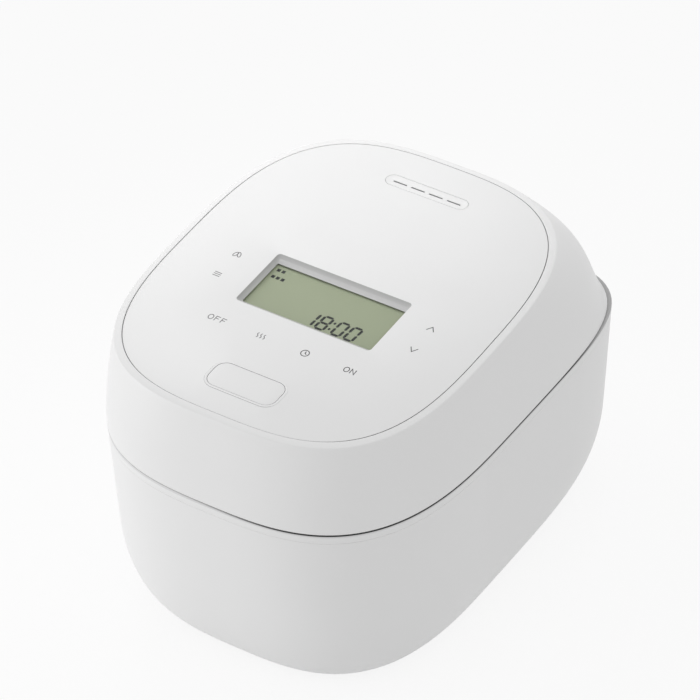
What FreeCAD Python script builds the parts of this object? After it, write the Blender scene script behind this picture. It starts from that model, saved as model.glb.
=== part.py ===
"""An induction rice cooker, built as the separate pieces it comes apart into on a bench.

The origin is on the floor below the middle of the cooker, +Z is up and the button side faces -Y.
Lengths are millimetres and angles are degrees.
"""

import FreeCAD
import Part
import Sketcher
import math
import os

Vector = FreeCAD.Vector
doc = FreeCAD.newDocument("rice_cooker")
sheet = doc.addObject("Spreadsheet::Sheet", "Sizes")


class Size:
    """A length or angle that knows its number and the sheet formula that gives it."""

    def __init__(self, text, number):
        self.text = text
        self.number = number

    def join(self, other, sign, number):
        return Size(f"({self.text} {sign} {other.text})", number)

    def __add__(self, other):
        other = as_size(other)
        return self.join(other, "+", self.number + other.number)

    def __sub__(self, other):
        other = as_size(other)
        return self.join(other, "-", self.number - other.number)

    def __mul__(self, other):
        other = as_size(other)
        return self.join(other, "*", self.number * other.number)

    def __truediv__(self, other):
        other = as_size(other)
        return self.join(other, "/", self.number / other.number)

    def __neg__(self):
        return Size(f"(0 - {self.text})", -self.number)


def as_size(value):
    """Lets plain counts and zero stand beside named sizes."""
    if isinstance(value, Size):
        return value
    return Size(str(value), value)


def sine(angle):
    return Size(f"sin({angle.text})", math.sin(math.radians(angle.number)))


def cosine(angle):
    return Size(f"cos({angle.text})", math.cos(math.radians(angle.number)))


def size(name, number, meaning):
    """Writes one driving dimension into the sheet and hands back its named value."""
    size.row += 1
    sheet.set(f"A{size.row}", meaning)
    sheet.set(f"B{size.row}", str(number))
    sheet.setAlias(f"B{size.row}", name)
    sheet.recompute()
    return Size(f"Sizes.{name}", float(sheet.get(name)))


size.row = 0

# Pot, well and the case around them
pot_radius = size("pot_radius", 103, "outside of the pot's wall")
pot_wall = size("pot_wall", 2, "thickness of the pot")
pot_height = size("pot_height", 106, "pot's underside to the top of its flange")
pot_round = size("pot_round", 20, "rounding between the pot's wall and floor")
pot_lift = size("pot_lift", 36, "pot's underside above the floor")
flange_width = size("flange_width", 12, "how far the pot's flange stands out")
flange_thick = size("flange_thick", 2, "thickness of the pot's flange")
flange_sink = size("flange_sink", 1, "deck above the flange's top")
flange_gap = size("flange_gap", 1, "play round the flange in the deck")
well_gap = size("well_gap", 3.5, "air between the pot and its well")
well_drop = size("well_drop", 4, "air under the pot")
well_wall = size("well_wall", 2, "thickness of the well")
well_round = size("well_round", 20, "rounding inside the well's floor")
well_flange = size("well_flange", 9.5, "width of the well's hanging flange")
side_room = size("side_room", 21.5, "pot's wall to the case's widest point")
front_room = size("front_room", 47, "pot's wall to the case's front")
back_room = size("back_room", 67, "pot's wall to the case's back")
wall = size("wall", 2.5, "thickness of the moulded shells")
rim_depth = size("rim_depth", 6.5, "depth of the upper frame")
body_draft = size("body_draft", 2, "lean of the case's walls")
base_round_width = size("base_round_width", 27.2, "how far the case draws in at its foot")
base_round_height = size("base_round_height", 62.75, "height over which it draws in")
seam_front_power = size("seam_front_power", 2.95, "squareness of the case's front at the lid")
seam_back_power = size("seam_back_power", 5.5, "squareness of the case's back at the lid")
base_front_power = size("base_front_power", 3.0, "squareness of the front at the foot")
base_back_power = size("base_back_power", 4.6, "squareness of the back at the foot")
foot_height = size("foot_height", 3, "height of the rubber feet")
foot_radius = size("foot_radius", 10, "radius of the rubber feet")
foot_side = size("foot_side", 66, "feet from the middle, sideways")
foot_front = size("foot_front", 78, "front feet ahead of the pot's axis")
foot_back = size("foot_back", 110, "rear feet behind the pot's axis")
cover_thick = size("cover_thick", 2.5, "thickness of the bottom cover and the lid's inner cover")
lip_width = size("lip_width", 4, "lip of the case above the bottom cover")
lip_thick = size("lip_thick", 2.5, "thickness of that lip")
fit_gap = size("fit_gap", 0.4, "play between pieces that fit into each other")
rest_gap = size("rest_gap", 0.3, "air between pieces of different moving groups")
slide_gap = size("slide_gap", 0.3, "play round sliding pieces")
shaft_gap = size("shaft_gap", 0.05, "play round turning pins and shafts")
screw_gap = size("screw_gap", 0.04, "play round a screw's shank")

# Induction coils and the sensor under the pot
coil_thick = size("coil_thick", 6, "thickness of the flat coils")
coil_air = size("coil_air", 0.5, "air between the coils and the well")
coil_hole = size("coil_hole", 24, "inner radius of the inner coil")
inner_coil_radius = size("inner_coil_radius", 50, "outer radius of the inner coil")
coil_space = size("coil_space", 8, "space between the two flat coils")
outer_coil_radius = size("outer_coil_radius", 88, "outer radius of the outer coil")
coil_margin = size("coil_margin", 4, "coil base beyond the outer coil")
coil_base_thick = size("coil_base_thick", 2, "thickness of the coil base")
side_coil_thick = size("side_coil_thick", 5, "thickness of the coil round the well")
side_coil_low = size("side_coil_low", 28, "side coil above the well's floor")
side_coil_height = size("side_coil_height", 30, "height of the side coil")
ferrite_count = 6
ferrite_thick = size("ferrite_thick", 6, "thickness of a ferrite bar")
ferrite_width = size("ferrite_width", 10, "width of a ferrite bar")
ferrite_inset = size("ferrite_inset", 5, "bars short of the coils at both ends")
leg_radius = size("leg_radius", 5, "radius of the coil base's legs")
leg_circle = size("leg_circle", 78, "legs from the pot's axis")
screw_radius = size("screw_radius", 1.7, "radius of a screw's shank")
screw_head = size("screw_head", 3.5, "radius of a screw's head")
screw_head_thick = size("screw_head_thick", 2, "thickness of a screw's head")
screw_grip = size("screw_grip", 9, "how far a screw goes into its boss")
sensor_radius = size("sensor_radius", 12.5, "radius of the sensor under the pot")
sensor_length = size("sensor_length", 16, "length of that sensor")
sensor_travel = size("sensor_travel", 3, "how far it can be pushed down")
sensor_guide_wall = size("sensor_guide_wall", 2.5, "wall of its guide")
sensor_spring_length = size("sensor_spring_length", 5.5, "its spring when pushed together")
sensor_spring_wire = size("sensor_spring_wire", 2, "thickness of that spring's ring")

# Power electronics, fan and inlet behind the well
board_space = size("board_space", 21, "power board behind the well")
board_thick = size("board_thick", 1.6, "thickness of the circuit boards")
board_left = size("board_left", 70, "left edge of the power board from the middle")
board_right = size("board_right", 6, "right edge of the power board from the middle")
board_height = size("board_height", 92, "height of the power board")
sink_width = size("sink_width", 50, "width of the heat sink")
sink_middle = size("sink_middle", 37, "heat sink's middle, left of the cooker's middle")
sink_low = size("sink_low", 9, "heat sink above the bottom cover")
sink_height = size("sink_height", 46, "height of the heat sink")
sink_plate = size("sink_plate", 3, "thickness of its plate")
sink_fin = size("sink_fin", 9, "depth of its fins")
fin_thick = size("fin_thick", 1.6, "thickness of one fin")
fin_count = 7
chip_width = size("chip_width", 16, "width of the power transistor")
chip_height = size("chip_height", 20, "height of the power transistor")
chip_thick = size("chip_thick", 5, "thickness of the power transistor")
capacitor_width = size("capacitor_width", 30, "width of the filter capacitor")
capacitor_depth = size("capacitor_depth", 14, "depth of the filter capacitor")
capacitor_height = size("capacitor_height", 22, "height of the filter capacitor")
capacitor_low = size("capacitor_low", 55, "capacitor above the bottom cover")
fan_size = size("fan_size", 60, "side of the fan's square frame")
fan_thick = size("fan_thick", 15, "thickness of the fan")
fan_middle = size("fan_middle", 26, "fan's axis right of the middle")
fan_ahead = size("fan_ahead", 24, "fan's axis ahead of the power board")
fan_bore = size("fan_bore", 28, "radius of the fan's bore")
fan_hub = size("fan_hub", 12, "radius of the rotor's hub")
fan_tip_gap = size("fan_tip_gap", 1.5, "air between the blade tips and the bore")
fan_strut = size("fan_strut", 3, "width of the fan's struts")
fan_strut_thick = size("fan_strut_thick", 2.5, "thickness of the fan's struts")
fan_low = size("fan_low", 3, "rotor above the bottom cover")
blade_chord = size("blade_chord", 12, "chord of a fan blade")
blade_thick = size("blade_thick", 1.2, "thickness of a fan blade")
blade_pitch = size("blade_pitch", 35, "pitch of a fan blade")
blade_count = 7
shaft_radius = size("shaft_radius", 1.5, "radius of the fan's shaft")
intake_slot = size("intake_slot", 3, "width of an intake slot")
intake_length = size("intake_length", 44, "length of an intake slot")
intake_step = size("intake_step", 6.5, "spacing of the intake slots")
intake_count = 7
exhaust_slot = size("exhaust_slot", 3, "width of an exhaust slot")
exhaust_height = size("exhaust_height", 28, "height of an exhaust slot")
exhaust_low = size("exhaust_low", 34, "exhaust slots above the floor")
exhaust_start = size("exhaust_start", 8, "first exhaust slot right of the middle")
exhaust_step = size("exhaust_step", 8, "spacing of the exhaust slots")
exhaust_count = 8
inlet_middle = size("inlet_middle", 35, "mains inlet left of the middle")
inlet_width = size("inlet_width", 36, "width of the mains inlet")
inlet_height = size("inlet_height", 24, "height of the mains inlet")
inlet_low = size("inlet_low", 66, "mains inlet above the bottom cover")
inlet_wall = size("inlet_wall", 3, "wall of the mains inlet")
inlet_depth = size("inlet_depth", 22, "depth of its socket")
inlet_sink = size("inlet_sink", 4.3, "inlet's face inside the case's back")
contact_radius = size("contact_radius", 2, "radius of an inlet contact")
contact_length = size("contact_length", 12, "length of an inlet contact")
contact_space = size("contact_space", 14, "distance between the two contacts")

# Hinge
ledge_depth = size("ledge_depth", 1, "lid's lower back edge ahead of the case's back")
hinge_inset = size("hinge_inset", 9.5, "hinge axis ahead of the lid's lower back edge")
hinge_rise = size("hinge_rise", 12, "hinge axis above the deck")
barrel_radius = size("barrel_radius", 8, "radius of the hinge barrel")
barrel_half = size("barrel_half", 45, "half the length of the hinge barrel")
stem_half = size("stem_half", 6, "half the thickness of the barrel's stem")
trough_depth = size("trough_depth", 3.5, "depth of the trough that the lid's back edge dips into")
trough_half = size("trough_half", 88, "half the width of that trough")
trough_front = size("trough_front", 12, "trough ahead of the hinge axis")
trough_back = size("trough_back", 2, "trough behind the lid's back edge")
hinge_pin_radius = size("hinge_pin_radius", 2.5, "radius of the hinge pin")
hinge_pin_end = size("hinge_pin_end", 1, "pin beyond the lid's knuckles")
knuckle_radius = size("knuckle_radius", 7, "radius of the lid's knuckles")
knuckle_width = size("knuckle_width", 16, "width of a knuckle")
knuckle_gap = size("knuckle_gap", 0.6, "air between knuckle and barrel")
knuckle_arm = size("knuckle_arm", 7, "thickness of a knuckle's arm")
notch_side = size("notch_side", 2, "lid's notch beyond the knuckles")
notch_rise = size("notch_rise", 10, "lid's notch above the hinge axis")
spring_length = size("spring_length", 22, "length of a lid spring")
spring_room_wall = size("spring_room_wall", 2, "hinge barrel's wall round the lid springs")
spring_gap = size("spring_gap", 0.3, "play round the springs")
hinge_screw_side = size("hinge_screw_side", 14, "hinge screws from the middle")

# Lid
lid_gap = size("lid_gap", 0.8, "seam between the case and the lid")
lid_back_power = size("lid_back_power", 4.94, "squareness of the lid's back at the seam")
lid_wall_power = size("lid_wall_power", 1.69, "how late the lid's wall draws in")
rear_wall_power = size("rear_wall_power", 0.8, "how late it draws in at the rear corners, at its foot")
rear_wall_rise = size("rear_wall_rise", 1.3, "how much later it draws in there at its top")
lid_rise = size("lid_rise", 68.4, "middle of the top panel above the deck")
panel_tilt = size("panel_tilt", 2.465, "top panel's rise to the back")
panel_shift = size("panel_shift", 0.45, "top panel's middle ahead of the pot's axis")
panel_side = size("panel_side", 13.25, "top panel inside the case's widest point")
panel_end = size("panel_end", 26.63, "top panel shorter than the case, at each end")
panel_front_power = size("panel_front_power", 3.14, "squareness of the panel's front")
panel_back_power = size("panel_back_power", 3.02, "squareness of the panel's back")
panel_thick = size("panel_thick", 2, "thickness of the top panel")
panel_gap = size("panel_gap", 0.25, "play round the top panel")
shoulder_width = size("shoulder_width", 5.07, "width of the lid's shoulder round the panel")
shoulder_drop = size("shoulder_drop", 0.76, "how far the shoulder falls outwards")
shelf_width = size("shelf_width", 4, "shelf that the panel lies on")
shelf_thick = size("shelf_thick", 2.5, "thickness of that shelf")
ledge_width = size("ledge_width", 8, "ledge that the lid's inner cover is screwed to")
ledge_thick = size("ledge_thick", 2.5, "thickness of that ledge")
ledge_end = size("ledge_end", 16, "inner cover and ledge end ahead of the hinge axis")
gasket_height = size("gasket_height", 2.7, "height of the pot gasket")
gasket_width = size("gasket_width", 8, "width of the pot gasket")
gasket_inset = size("gasket_inset", 3, "gasket inside the flange's edge")
inner_plate_thick = size("inner_plate_thick", 1.5, "thickness of the inner lid")
lid_screw_inset = size("lid_screw_inset", 5.2, "lid screws inside the lid's wall")
lid_screw_space = size("lid_screw_space", 45, "lid screws ahead of and behind the pot's axis")

# Display and touch keys
display_offset = size("display_offset", -15.7, "display's middle along the panel")
display_half_width = size("display_half_width", 50, "half the width of the display opening")
display_half_depth = size("display_half_depth", 25.1, "half the depth of the display opening")
display_round = size("display_round", 2.5, "corner radius of the display opening")
slope_side = size("slope_side", 1.5, "how far its side walls lean in, per layer")
slope_end = size("slope_end", 2.9, "how far its end walls lean in, per layer")
bezel_thick = size("bezel_thick", 2, "thickness of the display bezel")
bezel_margin = size("bezel_margin", 4, "bezel beyond its opening")
lens_thick = size("lens_thick", 1.2, "thickness of the display lens")
lens_margin = size("lens_margin", 2, "lens beyond the visible display")
module_thick = size("module_thick", 4, "thickness of the display module")
control_half_width = size("control_half_width", 82, "half the width of the control board")
control_front = size("control_front", 72, "control board ahead of the panel's middle")
control_back = size("control_back", 20, "control board behind the panel's middle")
key_radius = size("key_radius", 4, "radius of a touch spring")
side_key_offset = size("side_key_offset", 72.5, "side keys from the middle")
side_key_first = size("side_key_first", -5, "rear side keys along the panel")
side_key_step = size("side_key_step", 21, "side keys behind one another")
row_key_step = size("row_key_step", 32.4, "row keys beside one another")
row_key_offset = size("row_key_offset", -61.7, "row of keys along the panel")

# Opening button and latch
button_inset = size("button_inset", 30.57, "button's middle behind the panel's front edge")
button_half_width = size("button_half_width", 26.5, "half the width of the button's opening")
button_half_depth = size("button_half_depth", 12.5, "half the depth of the button's opening")
button_round = size("button_round", 9, "corner radius of that opening")
button_chamfer = size("button_chamfer", 1.4, "width of the chamfer round the opening")
button_chamfer_depth = size("button_chamfer_depth", 0.8, "depth of that chamfer")
button_skirt = size("button_skirt", 8.5, "height of the button")
button_wall = size("button_wall", 2, "thickness of the button")
button_travel = size("button_travel", 3, "how far the button goes down")
guide_wall = size("guide_wall", 3, "wall of the button's guide")
stem_radius = size("stem_radius", 3, "radius of the button's two stems")
stem_space = size("stem_space", 14, "stems from the middle")
stem_reach = size("stem_reach", 18, "stems' ends below the panel")
button_spring_radius = size("button_spring_radius", 5.5, "radius of the button's spring")
button_spring_wire = size("button_spring_wire", 1.5, "thickness of that spring's ring")
latch_inset = size("latch_inset", 21.5, "latch pivot behind the case's front")
latch_rise = size("latch_rise", 40, "latch pivot above the deck")
latch_hub = size("latch_hub", 5, "radius of the latch's hub")
latch_half = size("latch_half", 6, "half the width of the latch")
latch_thick = size("latch_thick", 3.6, "thickness of the latch's leg")
latch_arm = size("latch_arm", 4, "thickness of the latch's arm")
latch_forward = size("latch_forward", 6, "latch leg ahead of the pivot")
latch_nose = size("latch_nose", 3, "height of the latch's nose")
latch_nose_drop = size("latch_nose_drop", 9, "latch's nose below the deck")
paddle_half = size("paddle_half", 20, "half the width of the latch's paddle")
paddle_reach = size("paddle_reach", 6.5, "paddle ahead of and behind the stems")
latch_pin_radius = size("latch_pin_radius", 1.5, "radius of the latch pin")
cheek_gap = size("cheek_gap", 3.5, "space between the latch and its cheeks")
cheek_thick = size("cheek_thick", 4.5, "thickness of a cheek")
latch_spring_radius = size("latch_spring_radius", 4, "radius of the latch spring")
window_front = size("window_front", 14.5, "latch window ahead of the pivot")
window_back = size("window_back", 6, "latch window behind the pivot")
window_side = size("window_side", 2, "latch window beyond the latch's sides")
catch_thick = size("catch_thick", 2, "thickness of the catch plate")
catch_depth = size("catch_depth", 9.5, "depth of the catch plate")
catch_half = size("catch_half", 12, "half the width of the catch plate")

# Steam path, pressure valve and lid sensor
vent_inset = size("vent_inset", 28.57, "vent's middle ahead of the panel's back edge")
vent_half = size("vent_half", 30.5, "half the length of the vent's opening")
vent_radius = size("vent_radius", 5.2, "end radius of the vent's opening")
vent_gap = size("vent_gap", 0.2, "play round the vent cap")
vent_depth = size("vent_depth", 8, "depth of the vent cap")
vent_flange = size("vent_flange", 3, "width of the vent cap's flange")
vent_flange_thick = size("vent_flange_thick", 2, "thickness of that flange")
trough_radius = size("trough_radius", 6, "radius of the vent's hollow")
trough_sink = size("trough_sink", 2.2, "depth of the vent's hollow")
slit_length = size("slit_length", 10.2, "length of a steam slit")
slit_width = size("slit_width", 1.5, "width of a steam slit")
slit_step = size("slit_step", 13.4, "spacing of the steam slits")
slit_count = 4
valve_offset = size("valve_offset", 79.5, "pressure valve behind the pot's axis")
valve_radius = size("valve_radius", 14, "radius of the valve housing")
valve_bore = size("valve_bore", 9, "radius of the ball's cage")
valve_floor = size("valve_floor", 3.2, "thickness of the valve's seat")
valve_height = size("valve_height", 16, "height of the valve housing")
steam_hole = size("steam_hole", 2.5, "radius of the steam hole")
ball_radius = size("ball_radius", 5, "radius of the valve ball")
plunger_radius = size("plunger_radius", 3, "radius of the plunger")
plunger_travel = size("plunger_travel", 3, "how far the plunger goes")
solenoid_width = size("solenoid_width", 24, "width of the solenoid")
solenoid_length = size("solenoid_length", 24, "length of the solenoid")
solenoid_height = size("solenoid_height", 18, "height of the solenoid")
solenoid_space = size("solenoid_space", 3, "solenoid ahead of the steam chamber")
chamber_half = size("chamber_half", 36, "half the width of the steam chamber")
chamber_wall = size("chamber_wall", 2, "wall of the steam chamber")
chamber_margin = size("chamber_margin", 3, "steam chamber beyond the valve and the vent")
safety_radius = size("safety_radius", 8, "radius of the safety valve")
safety_height = size("safety_height", 13, "height of the safety valve")
valve_side = size("valve_side", 44, "safety valve and lid sensor from the middle")
valve_back = size("valve_back", 46, "safety valve and lid sensor behind the pot's axis")
lid_sensor_radius = size("lid_sensor_radius", 5, "radius of the lid sensor")
lid_sensor_length = size("lid_sensor_length", 12, "length of the lid sensor")
lid_sensor_travel = size("lid_sensor_travel", 1.5, "how far the lid sensor gives way")
lid_guide_wall = size("lid_guide_wall", 2.5, "wall of its guide")
lid_guide_height = size("lid_guide_height", 7, "height of its guide")
lid_coil_hole = size("lid_coil_hole", 20, "inner radius of the lid's coil")
lid_coil_radius = size("lid_coil_radius", 50, "outer radius of the lid's coil")
lid_coil_thick = size("lid_coil_thick", 3, "thickness of the lid's coil")
lid_coil_shift = size("lid_coil_shift", 18, "lid's coil ahead of the pot's axis")

# Places that follow from those sizes
half_width = pot_radius + side_room
front_reach = pot_radius + front_room
back_reach = pot_radius + back_room
axis_y = (front_reach - back_reach) / 2
deck_z = pot_lift + pot_height + flange_sink
rim_z = deck_z - rim_depth
cover_top = foot_height + cover_thick
well_floor = pot_lift - well_drop
well_under = well_floor - well_wall
well_radius = pot_radius + well_gap
well_outside = well_radius + well_wall
flange_radius = pot_radius + flange_width
flange_top = pot_lift + pot_height
flange_under = flange_top - flange_thick
coil_base_top = well_under - coil_air - coil_thick
coil_base_under = coil_base_top - coil_base_thick
board_y = axis_y + well_outside + board_space
board_back = board_y + board_thick
lid_z = deck_z + lid_gap
lid_reach = back_reach - ledge_depth
lid_back = axis_y + lid_reach
hinge_y = lid_back - hinge_inset
hinge_z = deck_z + hinge_rise
panel_y = axis_y - panel_shift
panel_z = deck_z + lid_rise
panel_half_width = half_width - panel_side
panel_half_length = (front_reach + back_reach) / 2 - panel_end
button_offset = button_inset - panel_half_length
vent_offset = panel_half_length - vent_inset
gasket_z = flange_top + rest_gap
plate_z = gasket_z + gasket_height
lid_cover_z = plate_z + inner_plate_thick
lid_floor = lid_cover_z + cover_thick
knuckle_start = barrel_half + knuckle_gap
knuckle_end = knuckle_start + knuckle_width
latch_y = axis_y - front_reach + latch_inset
latch_z = deck_z + latch_rise
valve_y = axis_y + valve_offset


def bind(item, name, value):
    item.setExpression(name, as_size(value).text)


def put(item, x=0, y=0, z=0):
    """Binds where an object stands."""
    bind(item, "Placement.Base.x", x)
    bind(item, "Placement.Base.y", y)
    bind(item, "Placement.Base.z", z)
    return item


def on_panel(item):
    """Turns an object made flat about the origin onto the tilted top panel."""
    item.Placement = FreeCAD.Placement(Vector(), FreeCAD.Rotation(Vector(1, 0, 0), panel_tilt.number))
    bind(item, "Placement.Rotation.Angle", panel_tilt)
    return put(item, 0, panel_y, panel_z)


def box(name, x, y, z):
    """A block between two values along each axis."""
    low = [as_size(pair[0]) for pair in (x, y, z)]
    high = [as_size(pair[1]) for pair in (x, y, z)]
    item = doc.addObject("Part::Box", name)
    for side, start, end in zip(("Length", "Width", "Height"), low, high):
        bind(item, side, end - start)
    return put(item, *low)


def rod(name, radius, ends, middle, axis="z"):
    """A cylinder between two values along an axis; middle gives its other two coordinates."""
    item = doc.addObject("Part::Cylinder", name)
    start, end = (as_size(value) for value in ends)
    bind(item, "Radius", radius)
    bind(item, "Height", end - start)
    if axis == "x":
        item.Placement.Rotation = FreeCAD.Rotation(Vector(0, 1, 0), 90)
        return put(item, start, *middle)
    if axis == "y":
        item.Placement.Rotation = FreeCAD.Rotation(Vector(1, 0, 0), -90)
        return put(item, middle[0], start, middle[1])
    return put(item, *middle, start)


def join(name, *items):
    item = doc.addObject("Part::MultiFuse", name)
    item.Shapes = list(items)
    return item


def cut(name, base, *tools):
    item = doc.addObject("Part::Cut", name)
    item.Base = base
    item.Tool = tools[0] if len(tools) == 1 else join(name + "_cutters", *tools)
    return item


def group(name, items):
    item = doc.addObject("Part::Compound", name)
    item.Links = list(items)
    return item


def ring(name, inner, outer, ends, middle, axis="z"):
    """A tube between two values along an axis."""
    return cut(name, rod(name + "_outside", outer, ends, middle, axis), rod(name + "_bore", inner, ends, middle, axis))


def tie_point(sketch, line, x, y):
    """Ties the start of a line to the sheet."""
    for kind, across, value in (("DistanceX", -2, as_size(x)), ("DistanceY", -1, as_size(y))):
        if value.text == "0":
            sketch.addConstraint(Sketcher.Constraint("PointOnObject", line, 1, across))
        else:
            index = sketch.addConstraint(Sketcher.Constraint(kind, -1, 1, line, 1, value.number))
            bind(sketch, f"Constraints[{index}]", value)


def turned(name, corners, x=0, y=0):
    """A body turned about a vertical axis from a profile of radius and height."""
    body = doc.addObject("PartDesign::Body", name)
    sketch = body.newObject("Sketcher::SketchObject", name + "_profile")
    side = next(item for item in body.Origin.OriginFeatures if item.Role == "XZ_Plane")
    sketch.AttachmentSupport = [(side, "")]
    sketch.MapMode = "FlatFace"
    points = [Vector(as_size(r).number, as_size(z).number, 0) for r, z in corners]
    count = len(points)
    for index, point in enumerate(points):
        sketch.addGeometry(Part.LineSegment(point, points[(index + 1) % count]), False)
    for index in range(count):
        sketch.addConstraint(Sketcher.Constraint("Coincident", index, 2, (index + 1) % count, 1))
    for index, corner in enumerate(corners):
        tie_point(sketch, index, *corner)
    turn = body.newObject("PartDesign::Revolution", name + "_turn")
    turn.Profile = sketch
    turn.ReferenceAxis = (sketch, ["V_Axis"])
    turn.Angle = 360
    put(body, x, y)
    return body


def round_edge(body, radius, edge_radius, edge_z):
    """Rounds the circular edge of a turned body that lies at a radius and height."""
    doc.recompute()
    base = body.Tip
    names = []
    for index, edge in enumerate(base.Shape.Edges):
        circle = edge.Curve
        if not isinstance(circle, Part.Circle):
            continue
        if abs(circle.Radius - edge_radius.number) < 0.01 and abs(circle.Center.z - edge_z.number) < 0.01:
            names.append(f"Edge{index + 1}")
    fillet = body.newObject("PartDesign::Fillet", body.Name + "_round")
    fillet.Base = (base, names)
    bind(fillet, "Radius", radius)


def rounded_sketch(name, half_x, half_y, radius, y, z):
    """A free sketch of a rounded rectangle, level at a height, centred at a value of y."""
    sketch = doc.addObject("Sketcher::SketchObject", name)
    a, b, r = half_x.number, half_y.number, radius.number
    sides = (
        (Vector(r - a, b, 0), Vector(a - r, b, 0)),
        (Vector(a, b - r, 0), Vector(a, r - b, 0)),
        (Vector(a - r, -b, 0), Vector(r - a, -b, 0)),
        (Vector(-a, r - b, 0), Vector(-a, b - r, 0)),
    )
    for start, end in sides:
        sketch.addGeometry(Part.LineSegment(start, end), False)
    corners = ((a - r, b - r, 0), (a - r, r - b, 270), (r - a, r - b, 180), (r - a, b - r, 90))
    for x_middle, y_middle, turn in corners:
        circle = Part.Circle(Vector(x_middle, y_middle, 0), Vector(0, 0, 1), r)
        start = math.radians(turn)
        sketch.addGeometry(Part.ArcOfCircle(circle, start, start + math.pi / 2), False)
    for side in range(4):
        corner = 4 + side
        sketch.addConstraint(Sketcher.Constraint("Tangent", side, 2, corner, 2))
        sketch.addConstraint(Sketcher.Constraint("Tangent", corner, 1, (side + 1) % 4, 1))
    for side, kind in enumerate(("Horizontal", "Vertical", "Horizontal", "Vertical")):
        sketch.addConstraint(Sketcher.Constraint(kind, side))
    for corner in range(5, 8):
        sketch.addConstraint(Sketcher.Constraint("Equal", 4, corner))
    index = sketch.addConstraint(Sketcher.Constraint("Radius", 4, r))
    bind(sketch, f"Constraints[{index}]", radius)
    for side, kind, value in (
        (0, "DistanceY", half_y), (1, "DistanceX", half_x), (2, "DistanceY", -half_y), (3, "DistanceX", -half_x)
    ):
        index = sketch.addConstraint(Sketcher.Constraint(kind, -1, 1, side, 1, value.number))
        bind(sketch, f"Constraints[{index}]", value)
    return put(sketch, 0, y, z)


def tapered(name, top, foot, y, ends):
    """A block from a rounded rectangle at one height to another one below it."""
    item = doc.addObject("Part::Loft", name)
    item.Sections = [
        rounded_sketch(name + "_foot", *foot, y, ends[0]),
        rounded_sketch(name + "_top", *top, y, ends[1]),
    ]
    item.Solid = True
    item.Ruled = True
    return item


def slab(name, half_x, half_y, radius, y, ends):
    """A rounded block of one outline between two heights."""
    return tapered(name, (half_x, half_y, radius), (half_x, half_y, radius), y, ends)


def capsule(name, half, radius, y, ends):
    """A block with half-round ends, along X, between two heights."""
    reach = half - radius
    block = box(name + "_middle", (-reach, reach), (y - radius, y + radius), ends)
    left = rod(name + "_left", radius, ends, (-reach, y))
    right = rod(name + "_right", radius, ends, (reach, y))
    return join(name, block, left, right)


# Smooth outlines: a rounded shape with one reach to each side, one to the front and one to the back
OUTLINE_POINTS = 48


def outline_point(turn, half, front, back, front_power, back_power):
    """A point of the outline, in plan, at a share of the full turn that starts at the back."""
    across = math.sin(turn)
    along = math.cos(turn)
    power = back_power if along > 0 else front_power
    reach = back if along > 0 else front
    x = math.copysign(abs(across) ** (2 / power), across) * half
    y = math.copysign(abs(along) ** (2 / power), along) * reach
    return x, y


def outline(*shape):
    turns = (2 * math.pi * index / OUTLINE_POINTS for index in range(OUTLINE_POINTS))
    return [outline_point(turn, *shape) for turn in turns]


def loop(points):
    curve = Part.BSplineCurve()
    curve.interpolate(points, PeriodicFlag=True)
    return Part.Wire([curve.toShape()])


def body_outline(height, inset):
    """The case's outline at a height, drawn in by an inset, as points."""
    drop = deck_z.number - height
    drawn = inset + drop * math.tan(math.radians(body_draft.number))
    if height < base_round_height.number:
        share = 1 - height / base_round_height.number
        drawn += base_round_width.number * (1 - math.sqrt(1 - share * share))
    down = drop / deck_z.number
    front_power = seam_front_power.number + (base_front_power.number - seam_front_power.number) * down
    back_power = seam_back_power.number + (base_back_power.number - seam_back_power.number) * down
    plan = outline(
        half_width.number - drawn, front_reach.number - drawn, back_reach.number - drawn, front_power, back_power
    )
    return [Vector(x, axis_y.number + y, height) for x, y in plan]


def body_heights(low, high):
    """Heights for the case's sections: even on the straight wall, by angle round the foot."""
    round_top = min(base_round_height.number, high)
    straight = [high + (round_top - high) * step / 3 for step in range(3)]
    last = math.asin(1 - low / base_round_height.number)
    turns = [last * step / 5 for step in range(6)]
    return straight + [base_round_height.number * (1 - math.sin(turn)) for turn in turns]


def body_loft(heights, inset):
    return Part.makeLoft([loop(body_outline(height, inset)) for height in heights], True, False)


def prism(points, height):
    """A straight-sided block on an outline, upwards."""
    return Part.Face(loop(points)).extrude(Vector(0, 0, height))


def rear_corner(index):
    """How far a point of an outline lies in a rear corner: 1 in its middle, 0 at the back and along the sides."""
    turn = 2 * math.pi * index / OUTLINE_POINTS
    return math.sin(2 * turn) ** 2 if math.cos(turn) > 0 else 0


def lid_section(share, inset):
    """The lid's outline at a share of its height, drawn in by an inset, as points."""
    low = outline(
        half_width.number - inset, front_reach.number - inset, lid_reach.number - inset,
        seam_front_power.number, lid_back_power.number
    )
    high = panel_outline(shoulder_width.number - inset, -shoulder_drop.number)
    side_power = lid_wall_power.number
    rear_power = rear_wall_power.number + rear_wall_rise.number * share
    points = []
    for index, ((x, y), top) in enumerate(zip(low, high)):
        power = side_power + (rear_power - side_power) * rear_corner(index)
        foot = Vector(x, axis_y.number + y, lid_z.number)
        point = foot + (top - foot) * share ** power
        point.z = foot.z + (top.z - foot.z) * share
        points.append(point)
    return points


def panel_outline(grow, height):
    """The top panel's outline, grown by a margin, at a height above its face, on its tilt."""
    plan = outline(
        panel_half_width.number + grow, panel_half_length.number + grow, panel_half_length.number + grow,
        panel_front_power.number, panel_back_power.number
    )
    turn = FreeCAD.Rotation(Vector(1, 0, 0), panel_tilt.number)
    middle = Vector(0, panel_y.number, panel_z.number)
    return [middle + turn.multVec(Vector(x, y, height)) for x, y in plan]


def shaped(name, shape):
    """A piece whose sculpted form is set from the sizes above."""
    item = doc.addObject("Part::Feature", name)
    item.Shape = shape
    return item


pieces = []


def keep(item, label):
    item.Label = label
    pieces.append(item)


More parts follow.
